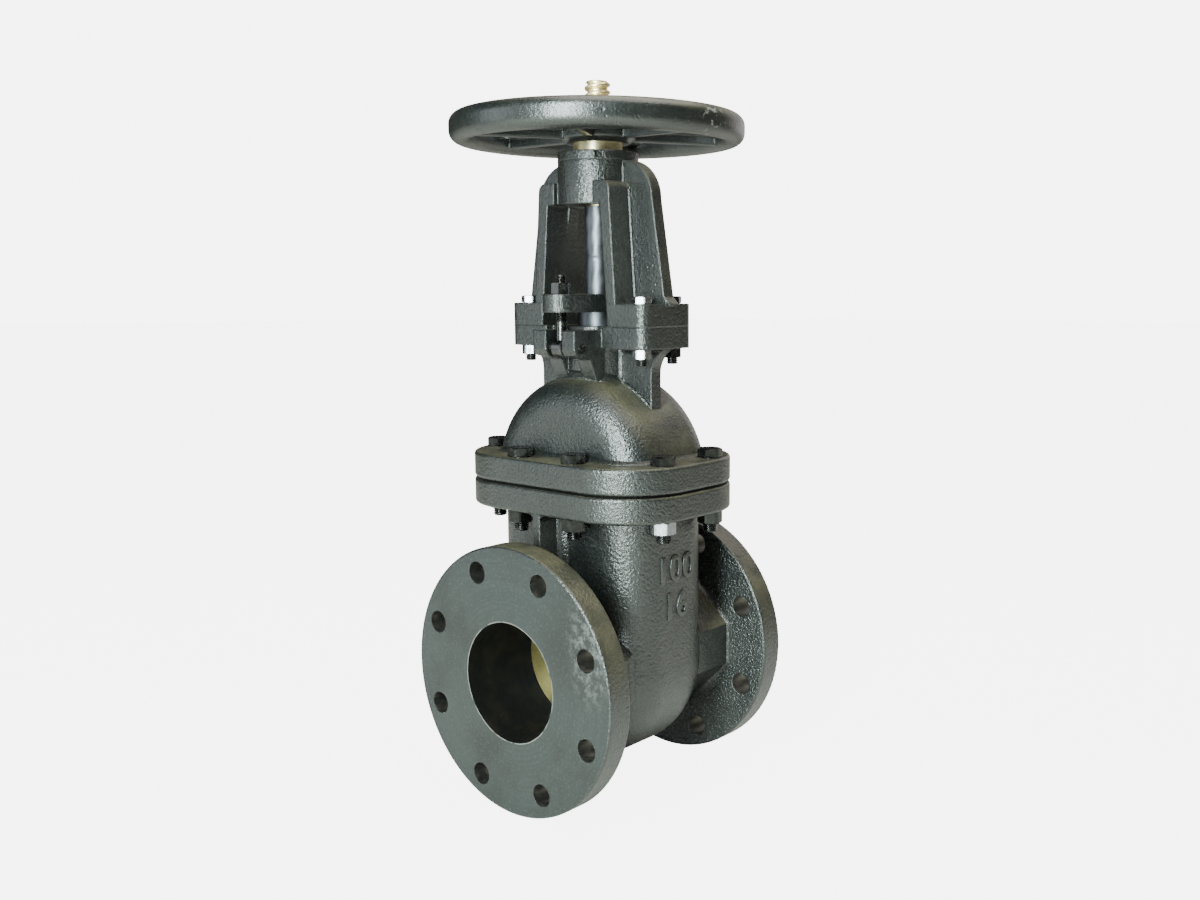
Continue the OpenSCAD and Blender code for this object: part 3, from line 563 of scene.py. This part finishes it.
def finish_node(name, finishes, sort=None):
    """Gives a CAD node its materials; sort takes centres and normals and gives each face's material number."""
    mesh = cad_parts[name].data
    mesh.materials.clear()
    for m in finishes:
        mesh.materials.append(m)
    index = np.zeros(len(mesh.polygons), int) if sort is None else sort(*face_centres(mesh))
    mesh.polygons.foreach_set("material_index", index)
    mesh.update()


def sort_body(c, n):
    """0 paint, 1 turned end faces and joint face, 2 bore and chamber (painted shade), 3 bolt holes, 4 flange backs
    (painted light).
    """
    out = np.zeros(len(c), int)
    reach = np.hypot(c[:, 1], c[:, 2])
    out[(np.abs(c[:, 0]) > 114.0) & (reach < 112.5)] = 1
    out[np.abs(c[:, 2] - JOINT_FACE) < 0.2] = 1
    chamber = (np.abs(c[:, 0]) < 42.2) & (np.abs(c[:, 1]) < 75.7) & (np.abs(c[:, 2] - 41.1) < 116.8)
    inside = (reach < BORE_R + 0.1) | chamber
    toward = (n * np.stack([c[:, 0], c[:, 1], np.minimum(c[:, 2], 0)], 1)).sum(1) < 1e-3
    out[inside & toward] = 2
    in_flange = np.abs(np.abs(c[:, 0]) - 102.1) < 12.1
    out[(np.abs(reach - BOLT_CIRCLE_R) < 10) & (np.abs(n[:, 0]) < 0.3) & in_flange] = 3
    out[(np.abs(n[:, 0]) > 0.95) & (np.abs(c[:, 0]) > 88) & (np.abs(c[:, 0]) < 112) & (reach > NECK_R + 1)] = 4
    return out


for node in ("bonnet", "yoke", "sleeve_retainer", "gland_flange", "wedge"):
    finish_node(node, [paint])
finish_node("handwheel", [wheel_paint])
for node in ("body", "inlet_flange", "outlet_flange"):
    finish_node(node, [paint, face_paint, shaded_bore_iron, drilled_iron, lightened_back_paint], sort_body)
for node in ("inlet_body_ring", "outlet_body_ring", "wedge_ring_in", "wedge_ring_out"):
    finish_node(node, [ring_bronze])
# The sleeve's lower end, where it shows below the hub, takes the near-black inside iron as painted shade in the gap.
finish_node("yoke_sleeve", [bronze, shaded_bore_iron], lambda c, n: (c[:, 2] < 402).astype(int))
finish_node("gland", [foil])
finish_node("stem_cover", [foil])
finish_node("stem", [stem_bronze])
for node in ("gland_eyebolt_in", "gland_eyebolt_out", "eyebolt_pin_in", "eyebolt_pin_out", "handwheel_nut",
             "gland_nut_in", "gland_nut_out"):
    finish_node(node, [oiled_steel])
finish_node("bonnet_gasket", [gasket_sheet])
finish_node("stem_packing", [braid])

# %% [markdown]
# All new pieces but the raised figures are surfaces worked out with numpy. A surface is a grid of
# points, rows along it and columns round it. Such grids become one closed mesh: equal points are
# joined, so seams and poles close, faces turn outwards, and edges sharper than a given angle stay.

# %% Mesh helpers
def strip_faces(rows, cols):
    """Quads between neighbouring rows of a grid whose columns run all the way round."""
    r, c = np.meshgrid(np.arange(rows - 1), np.arange(cols), indexing="ij")
    d = (c + 1) % cols
    return np.stack([r * cols + c, r * cols + d, (r + 1) * cols + d, (r + 1) * cols + c], -1).reshape(-1, 4)


def close_mesh(mesh, sharp):
    """Joins equal points, drops empty faces, turns all faces outwards, shades smooth up to sharp degrees."""
    work = bmesh.new()
    work.from_mesh(mesh)
    bmesh.ops.remove_doubles(work, verts=work.verts, dist=1e-6)
    bmesh.ops.dissolve_degenerate(work, edges=work.edges, dist=1e-6)
    bmesh.ops.recalc_face_normals(work, faces=work.faces)
    work.to_mesh(mesh)
    work.free()
    mesh.shade_smooth()
    mesh.set_sharp_from_angle(angle=math.radians(sharp))


def add_piece(name, mesh, material, body):
    """The finished mesh as an object that rides on a body."""
    mesh.materials.append(material)
    piece = bpy.data.objects.new(name, mesh)
    bpy.context.scene.collection.objects.link(piece)
    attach(piece, body)
    print(name, len(mesh.polygons), "faces")
    return piece


def build_piece(name, grids, material, body, sharp=38):
    """One object from grids of points (rows, columns, 3) in millimetres about the stem axis."""
    points, faces, start = [], [], 0
    for grid in grids:
        rows, cols = grid.shape[:2]
        points.append(grid.reshape(-1, 3))
        faces.append(strip_faces(rows, cols) + start)
        start += rows * cols
    points = (np.concatenate(points) + (STEM_X, 0, 0)) * MM
    mesh = bpy.data.meshes.new(name)
    mesh.from_pydata(points.tolist(), [], np.concatenate(faces).tolist())
    close_mesh(mesh, sharp)
    return add_piece(name, mesh, material, body)


def to_place(grid, spot, turn=0.0, down=False, lie=None):
    """A grid drawn about its own Z axis, turned, flipped to point down, laid by a matrix, moved to spot."""
    c, s = math.cos(turn), math.sin(turn)
    out = grid @ np.array([[c, s, 0], [-s, c, 0], [0, 0, 1]])
    if down:
        out = out * (1, -1, -1)
    if lie is not None:
        out = out @ np.asarray(lie, float)
    return out + spot


def turned_grid(radius, height, cols=48):
    """A solid of revolution from its outline; radius may vary round the axis too, as (rows, columns)."""
    turn = np.linspace(0, 2 * np.pi, cols, endpoint=False)
    radius = np.asarray(radius, float)
    radius = np.broadcast_to(radius[:, None] if radius.ndim == 1 else radius, (len(radius), cols))
    height = np.asarray(height, float)
    height = np.broadcast_to(height[:, None] if height.ndim == 1 else height, radius.shape)
    return np.stack([radius * np.cos(turn), radius * np.sin(turn), height], -1)


# %% [markdown]
# A hexagon's reach from its axis is half its width across flats over the cosine of the angle to the
# nearest flat's middle. Heads and nuts are turned on their tops to a shallow cone, which cuts
# the corners away and leaves the curved tops of the flats that catch the light.

# %% Bolts and nuts
COLS = 48
ROUND = np.linspace(0, 2 * np.pi, COLS, endpoint=False)


def hexagon(across):
    """Reach of a hexagon at each column, corners rounded off by a fiftieth."""
    flat = across / 2 / np.cos(ROUND % (np.pi / 3) - np.pi / 6)
    return np.minimum(flat, across / math.sqrt(3) * 0.98)


def cone_cut(across, height, edge):
    """Height of the side at each column where a 30 degree cone from radius edge on the top crosses it."""
    return height - math.tan(math.radians(30)) * np.maximum(hexagon(across) - edge, 0)


def hex_head(across, height):
    """A bolt head: washer face, six flats, a cone-cut top that is very slightly hollow."""
    ring, edge = np.full(COLS, 0.46 * across), np.full(COLS, 0.47 * across)
    zero, side = np.zeros(COLS), hexagon(across)
    radius = np.stack([zero, ring, ring, side, side, edge, edge * 0.82, zero])
    level = np.stack([zero, zero, zero + 0.5, zero + 0.5, cone_cut(across, height, 0.47 * across), zero + height,
                      zero + height - 0.12, zero + height - 0.25])
    return turned_grid(radius, level, COLS)


def hex_nut(across, height, bore):
    """A nut with both faces cone cut and its bore countersunk; the grid's last row meets its first."""
    edge, side, hole = np.full(COLS, 0.47 * across), hexagon(across), np.full(COLS, bore)
    zero = np.zeros(COLS)
    high = cone_cut(across, height, 0.47 * across)
    radius = np.stack([hole, hole + 0.5, edge, side, side, edge, hole + 0.5, hole, hole])
    level = np.stack([zero + 0.5, zero, zero, height - high, high, zero + height, zero + height, zero + height - 0.5,
                      zero + 0.5])
    return turned_grid(radius, level, COLS)


def screw_wave(turn, level, pitch, crest_share):
    """Height of a right-hand thread from root (0) to crest (1): sloped flanks between flat crest and root."""
    phase = (level / pitch - turn / (2 * np.pi)) % 1
    ramp = np.abs(2 * phase - 1)
    return np.clip((ramp - crest_share) / (1 - 2 * crest_share), 0, 1)


def screw_end(crest, root, pitch, low, high):
    """A threaded rod from low to high: the thread's radius, held under a 45 degree cone at the end."""
    level = np.linspace(low, high, int((high - low) / pitch * 8) + 2)[:, None]
    radius = root + (crest - root) * screw_wave(ROUND, level, pitch, 0.1)
    radius = np.minimum(radius, root - 0.2 + (high - level))
    ends = turned_grid([0, 0], [low, high], COLS)
    return np.concatenate([ends[:1], turned_grid(radius, level, COLS), ends[1:]])


def bolt_set(name, spots, turns, head_at, nut_at, across, head_h, nut_h, size, pitch, tail, metals):
    """Bolts dropped from above: a head on head_at, a nut under nut_at, a threaded end; one piece for each."""
    heads, nuts, ends = [], [], []
    for (x, y), (a, b) in zip(spots, turns):
        heads.append(to_place(hex_head(across, head_h), (x, y, head_at), a))
        nuts.append(to_place(hex_nut(across, nut_h, size / 2 * 0.86), (x, y, nut_at), b, down=True))
        end = screw_end(size / 2, size / 2 * 0.84, pitch, 0.5, nut_h + tail)
        ends.append(to_place(end, (x, y, nut_at), b, down=True))
    for part, grids, metal in zip(("_heads", "_nuts", "_ends"), (heads, nuts, ends), metals):
        build_piece(name + part, grids, metal, "housing")


def pick(values, chosen):
    """The entries of a list at the chosen places."""
    return [values[i] for i in chosen]


JOINT_SPOTS = [(sx * x, sy * y) for x, y in ((31, 97.5), (67, 31.5)) for sx in (-1, 1) for sy in (-1, 1)]
JOINT_TURNS = [(0.45, 0.05), (0.7, 0.6), (0.3, 0.8), (0.6, 0.3), (0.5, 0.55), (0.35, 0.45), (0.65, 0.6),
               (0.4, 0.35)]
NEW_ONE = JOINT_SPOTS.index((-31, -97.5))
OLD_ONES = [i for i in range(8) if i != NEW_ONE]
for name, chosen, nut in (("joint_bolt", OLD_ONES, bolt_black), ("joint_bolt_new", [NEW_ONE], zinc)):
    bolt_set(name, pick(JOINT_SPOTS, chosen), pick(JOINT_TURNS, chosen), JOINT_TOP, JOINT_UNDER, across=19.05,
             head_h=8.0, nut_h=11.0, size=12.7, pitch=1.95, tail=7.5, metals=(bolt_black, nut, oiled_steel))
YOKE_SPOTS = [(sx * 19.5, sy * 65.5) for sx in (-1, 1) for sy in (-1, 1)]
YOKE_TURNS = [(0.0, 0.03), (0.04, 0.0), (0.4, 0.45), (0.55, 0.6)]
for name, chosen, metal in (("yoke_bolt_in", (0, 1), zinc), ("yoke_bolt_out", (2, 3), bolt_black)):
    bolt_set(name, pick(YOKE_SPOTS, chosen), pick(YOKE_TURNS, chosen), FOOT_TOP, PAD_UNDER, across=14.3,
             head_h=6.3, nut_h=8.3, size=9.525, pitch=1.59, tail=5.5, metals=(metal, metal, oiled_steel))

# %% [markdown]
# The stem's screw is an Acme thread, four turns to the inch, with broad flat crests. The CAD stem is a
# plain rod of the crest's size, so a new stem with the real screw stands for it: the same
# outline, with the radius above the gland wound down into the thread's root. The two swing
# bolts of the gland get their eased eyes and their screws the same way.

# %% Stem with its screw, and the swing bolts
def stem_grid():
    """The stem's outline from button to top; the radius of the upper part follows the thread."""
    cols = 64
    turn = np.linspace(0, 2 * np.pi, cols, endpoint=False)
    low, screw_from, high = 62.0, 285.0, 497.0
    r = 10.9
    plain_z = [low, low, low + 10, low + 10, 118.1, 121.1, 124.1, 129.1, screw_from - 1]
    plain_r = [0, 14.4, 14.4, r, r, r + 5, r + 5, r, r]
    plain = turned_grid(plain_r, plain_z, cols)
    level = np.linspace(screw_from, high, 335)[:, None]
    wave = screw_wave(turn, level, 6.35, 0.27)
    depth = 2.4 * np.clip((level - screw_from) / 8, 0, 1)
    radius = np.minimum(r - depth * (1 - wave), r - 1.6 + (high - level))
    return np.concatenate([plain, turned_grid(radius, level, cols), turned_grid([0], [high], cols)])


stem = build_piece("stem_with_screw", [stem_grid()], stem_bronze, "rising", sharp=30)
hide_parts("stem")


def swing_bolt_grids(side):
    """The eye, a ring about Y with eased edges, and the rod: plain below, screwed above the gland flange."""
    flat = [3.6, 4.2, 7.2, 8.0, 8.0, 7.2, 4.2, 3.6, 3.6]
    wide = [-4.9, -5.5, -5.5, -4.7, 4.7, 5.5, 5.5, 4.9, -4.9]
    eye = to_place(turned_grid(flat, wide), (side * 47, 0, 274), lie=[[1, 0, 0], [0, 0, 1], [0, -1, 0]])
    turn = np.linspace(0, 2 * np.pi, 40, endpoint=False)
    high = 335
    level = np.linspace(297, high, 170)[:, None]
    radius = np.minimum(3.95 + 0.8 * screw_wave(turn, level, 1.59, 0.1), 3.7 + (high - level))
    lower = turned_grid([0, 4.75, 4.75], [278, 278, 296.4], 40)
    rod = np.concatenate([lower, turned_grid(radius, level, 40), turned_grid([0], [high], 40)])
    return [eye, to_place(rod, (side * 47, 0, 0))]


for side, node in ((-1, "gland_eyebolt_in"), (1, "gland_eyebolt_out")):
    bolt = build_piece(node.replace("gland_eyebolt", "swing_bolt"), swing_bolt_grids(side), oiled_steel,
                       "housing")
    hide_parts(node)

# %% [markdown]
# Between gland and hub the screw wears a thin sleeve of silver foil over its grease, rolled by
# hand. It is a cylinder whose radius is let in by a few shallow waves and one crease round the middle.

# %% Foil sleeve on the screw
def foil_grid():
    """Both walls of a thin tube: the CAD tube's radius less two waves that wind round it and a narrow crease."""
    low, high = (v.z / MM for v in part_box("stem_cover"))
    level = np.linspace(low, high, 90)[:, None]
    turn = np.linspace(0, 2 * np.pi, 64, endpoint=False)
    middle = low + 0.42 * (high - low)
    waves = 0.13 * (1 + np.sin(3 * turn + level / 7)) + 0.08 * (1 + np.sin(5 * turn - level / 3.1 + 1))
    crease = 0.45 * np.exp(-((level - middle - 1.5 * np.sin(turn)) / 1.1) ** 2)
    outer = 12.3 - np.minimum(waves + crease, 0.62)
    tube = np.concatenate([turned_grid(outer, level, 64), turned_grid(outer - 0.35, level, 64)[::-1]])
    return np.concatenate([tube, tube[:1]])


sleeve = build_piece("foil_sleeve", [foil_grid()], foil, "housing", sharp=70)
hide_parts("stem_cover")

# %% [markdown]
# A sand casting carries its size and rating in raised figures. Plain ones stand for them here: the
# nominal bore over the pressure rating. A text outline is made a mesh, stood upright on the
# side of the chamber and bent round it by the chamber's own formula.

# %% Raised figures
def side_of_chamber(x):
    """Reach of the chamber's side from the stem axis at x: flat, then a quarter circle."""
    past_flat = np.clip(np.abs(x) - (CHAMBER_X - CHAMBER_R), 0, CHAMBER_R - 1)
    return CHAMBER_Y - CHAMBER_R + np.sqrt(CHAMBER_R ** 2 - past_flat ** 2)


def raised_figures(name, rows):
    """Rows of text, cap height and middle height; each stands 1.6 mm proud and as deep, edges eased."""
    points, faces, start = [], [], 0
    for text, cap, middle in rows:
        curve = bpy.data.curves.new(name, "FONT")
        curve.body, curve.align_x, curve.align_y = text, "CENTER", "CENTER"
        curve.size, curve.extrude, curve.bevel_depth, curve.bevel_resolution = cap / 0.7, 0.9, 0.7, 2
        curve.space_character = 1.05
        holder = bpy.data.objects.new(name, curve)
        mesh = bpy.data.meshes.new_from_object(holder)
        flat = np.empty(len(mesh.vertices) * 3)
        mesh.vertices.foreach_get("co", flat)
        flat = flat.reshape(-1, 3)
        flat[:, :2] -= (flat[:, :2].max(0) + flat[:, :2].min(0)) / 2
        bent = np.stack([flat[:, 0], -side_of_chamber(flat[:, 0]) - flat[:, 2], middle + flat[:, 1]], 1)
        points.append(bent)
        faces += [[start + v for v in face.vertices] for face in mesh.polygons]
        start += len(flat)
        bpy.data.objects.remove(holder)
    mesh = bpy.data.meshes.new(name)
    mesh.from_pydata(((np.concatenate(points) + (STEM_X, 0, 0)) * MM).tolist(), [], faces)
    close_mesh(mesh, 50)
    return mesh


figures = raised_figures("body_figures", (("100", 22, 90), ("16", 22, 58)))
add_piece("body_figures", figures, figure_paint, "housing")

# %% [markdown]
# A pattern maker rounds every inner corner, because sand breaks off sharp ones. Such a round is the
# track of a ball that rolls along the corner and touches both walls. With each wall written
# as a distance function, Newton's method finds the ball's middle all along the corner at
# once, and the round is the arc between its two touching points. The arc is closed behind with
# a thin tail that lies inside the iron.

# %% The rolling ball
def slope_of(wall, spot):
    """Direction in which the distance to a wall grows, one row per point, by central differences."""
    h = 1e-3
    return np.stack([(wall(spot + s) - wall(spot - s)) / (2 * h) for s in h * np.eye(3)], 1)


def roll_ball(wall_a, wall_b, path, radius, closed):
    """Shifts every point of path, across the path only, until it lies radius away from both walls."""
    along = np.roll(path, -1, 0) - np.roll(path, 1, 0) if closed else np.gradient(path, axis=0)
    along = along / np.linalg.norm(along, axis=1, keepdims=True)
    spot = path.astype(float)
    for _ in range(30):
        rows = np.stack([slope_of(wall_a, spot), slope_of(wall_b, spot), along], 1) + 1e-9 * np.eye(3)
        off = np.stack([wall_a(spot) - radius, wall_b(spot) - radius, ((spot - path) * along).sum(1)], 1)
        spot -= np.clip(np.linalg.solve(rows, off[..., None])[..., 0] * 0.8, -2, 2)
    return spot


def fillet(wall_a, wall_b, path, radius, closed):
    """Grid of a concave round: rows follow the path, columns run over the arc and back through the iron."""
    steps, tail = 7, 0.35
    spot = roll_ball(wall_a, wall_b, path, radius, closed)
    a, b = slope_of(wall_a, spot), slope_of(wall_b, spot)
    cosine = np.clip((a * b).sum(1, keepdims=True), -0.999, 0.999)
    whole = np.arccos(cosine)[:, None]
    share = np.linspace(0, 1, steps)[None, :, None]
    arc = (np.sin((1 - share) * whole) * a[:, None] + np.sin(share * whole) * b[:, None]) / np.sin(whole)
    arc = spot[:, None] - radius * arc
    back = np.stack([spot - (radius + tail) * b, spot - (radius + tail) * (a + b) / (1 + cosine),
                     spot - (radius + tail) * a], 1)
    grid = np.concatenate([arc, back], 1)
    if closed:
        return np.concatenate([grid, grid[:1]])
    middle = np.repeat(grid.mean(1, keepdims=True), grid.shape[1], 1)
    return np.concatenate([middle[:1], grid, middle[-1:]])


def four_ways(grid, sides=((1, 1), (-1, 1), (-1, -1), (1, -1))):
    """A grid and its mirror images in X and Y."""
    return [grid * (sx, sy, 1) for sx, sy in sides]


def line(start, end):
    """Evenly spaced points from start to end."""
    return np.linspace(start, end, 24)


def loop_round(wall, gap, level, axis=2):
    """Closed path at a level along an axis, gap away from a wall, by halving the reach in every direction."""
    count = 180
    turn = np.linspace(0, 2 * np.pi, count, endpoint=False)
    low, high = np.full(count, 5.0), np.full(count, 200.0)
    u, v = [i for i in range(3) if i != axis]
    for _ in range(40):
        reach = (low + high) / 2
        spot = np.full((count, 3), float(level))
        spot[:, u], spot[:, v] = reach * np.cos(turn), reach * np.sin(turn)
        far = wall(spot) > gap
        low, high = np.where(far, low, reach), np.where(far, reach, high)
    return spot


# %% [markdown]
# The walls of the castings as distance functions, in millimetres about the stem axis.

# %% Walls
def rounded_box(u, v, hu, hv, r):
    """Distance to a rectangle of half sizes hu and hv with corner radius r."""
    du, dv = np.abs(u) - (hu - r), np.abs(v) - (hv - r)
    return np.hypot(np.maximum(du, 0), np.maximum(dv, 0)) + np.minimum(np.maximum(du, dv), 0) - r


def chamber_wall(p):
    """Chamber: a rounded box seen from above, the same outline swung round the waterway below it."""
    across = np.where(p[:, 2] > 0, p[:, 1], np.hypot(p[:, 1], p[:, 2]))
    return rounded_box(p[:, 0], across, CHAMBER_X, CHAMBER_Y, CHAMBER_R)


def dome_wall(p):
    """Bonnet dome: a rounded outline swung about a line along X through the joint."""
    return rounded_box(p[:, 0], np.hypot(p[:, 1], p[:, 2] - DOME_Z), DOME_X, DOME_R, DOME_EDGE_R)


def neck_wall(p):
    """Neck: a round pipe about X with a flat boss on either side that runs into it at 45 degrees."""
    y, z = np.abs(p[:, 1]), np.abs(p[:, 2])
    boss = np.maximum(y - BOSS_Y, (y + z) / math.sqrt(2) - NECK_R)
    past_edge = (z > BOSS_EDGE_Z) & (z - BOSS_EDGE_Z < y - BOSS_Y)
    boss = np.where(past_edge, np.hypot(y - BOSS_Y, z - BOSS_EDGE_Z), boss)
    return np.where(z > y, np.hypot(y, z) - NECK_R, boss)


def tube_wall(radius):
    """An upright cylinder about the stem's axis."""
    return lambda p: np.hypot(p[:, 0], p[:, 1]) - radius


def flat_wall(spot, facing):
    """A plane through spot; distance is counted towards facing."""
    facing = np.asarray(facing, float) / np.linalg.norm(facing)
    return lambda p: (p - spot) @ facing


WEB = flat_wall((0, 4, 0), (0, 1, 0))
RIB_X = flat_wall((6, 0, 0), (1, 0, 0))
UNDER_JOINT = flat_wall((0, 0, JOINT_UNDER), (0, 0, -1))
ON_JOINT = flat_wall((0, 0, JOINT_TOP), (0, 0, 1))
UNDER_PAD = flat_wall((0, 0, PAD_UNDER), (0, 0, -1))
BOX = tube_wall(31)
HUB = tube_wall(34.5)
LEG = flat_wall((0, 48, 294), (0, 111, 7.5))
print("walls written")

# %% [markdown]
# Now the rounds themselves, one piece for each casting.

# %% Rounds of the body
def body_rounds():
    """Neck to chamber, web to chamber and neck, chamber and web to joint flange, neck to end flange."""
    neck = loop_round(neck_wall, 7, 53, axis=0)
    ring = fillet(chamber_wall, neck_wall, neck, 7, True)
    side = flat_wall((CHAMBER_X, 0, 0), (1, 0, 0))
    web = fillet(WEB, side, line((CHAMBER_X + 7, 11, 60), (CHAMBER_X + 7, 11, 138)), 7, False)
    low = fillet(WEB, neck_wall, line((54, 10, 71), (92, 10, 71)), 6, False)
    top = fillet(WEB, UNDER_JOINT, line((53, 9, 131), (79.6, 9, 131)), 5, False)
    joint = fillet(chamber_wall, UNDER_JOINT, loop_round(chamber_wall, 2.5, JOINT_UNDER - 2.5), 2.5, True)
    back = flat_wall((FLANGE_BACK, 0, 0), (-1, 0, 0))
    flange = fillet(back, neck_wall, loop_round(neck_wall, 3, FLANGE_BACK - 3, axis=0), 3, True)
    both = ((1, 1), (-1, 1))
    build_piece("body_rounds", four_ways(ring, both) + four_ways(web) + four_ways(low) + four_ways(top) + [joint]
                + four_ways(flange, both), round_paint, "housing", sharp=60)


body_rounds()

# %% Rounds of the bonnet
def bonnet_rounds():
    """Dome to joint flange, stuffing box to dome, ribs to dome, to box and to the pads."""
    foot = fillet(dome_wall, ON_JOINT, loop_round(dome_wall, 4, JOINT_TOP + 4), 4, True)
    turn = np.linspace(0, 2 * np.pi, 160, endpoint=False)
    y = 38 * np.sin(turn)
    neck = np.stack([38 * np.cos(turn), y, DOME_Z + np.sqrt((DOME_R + 7) ** 2 - y ** 2)], 1)
    neck = fillet(BOX, dome_wall, neck, 8, True)
    y = np.linspace(30, 62.5, 30)
    rib = np.stack([np.full(30, 8.5), y, DOME_Z + np.sqrt((DOME_R + 2.5) ** 2 - y ** 2)], 1)
    rib = fillet(RIB_X, dome_wall, rib, 2.5, False)
    up = fillet(RIB_X, BOX, line((10, 33.54, 238), (10, 33.54, 275)), 4, False)
    pad = fillet(RIB_X, UNDER_PAD, line((11, 32, 269), (11, 72, 269)), 5, False)
    build_piece("bonnet_rounds", [foot, neck] + four_ways(rib) + four_ways(up) + four_ways(pad), round_paint,
                "housing", sharp=60)


bonnet_rounds()

# %% Rounds of the yoke
def yoke_rounds():
    """Rib to leg plate and rib to hub."""
    side = fillet(RIB_X, LEG, line((8, 49, 312), (8, 43, 406)), 2, False)
    hub = fillet(RIB_X, HUB, line((8, 35.6, 404), (8, 35.6, 428)), 2, False)
    build_piece("yoke_rounds", four_ways(side) + four_ways(hub), round_paint, "housing", sharp=60)


yoke_rounds()
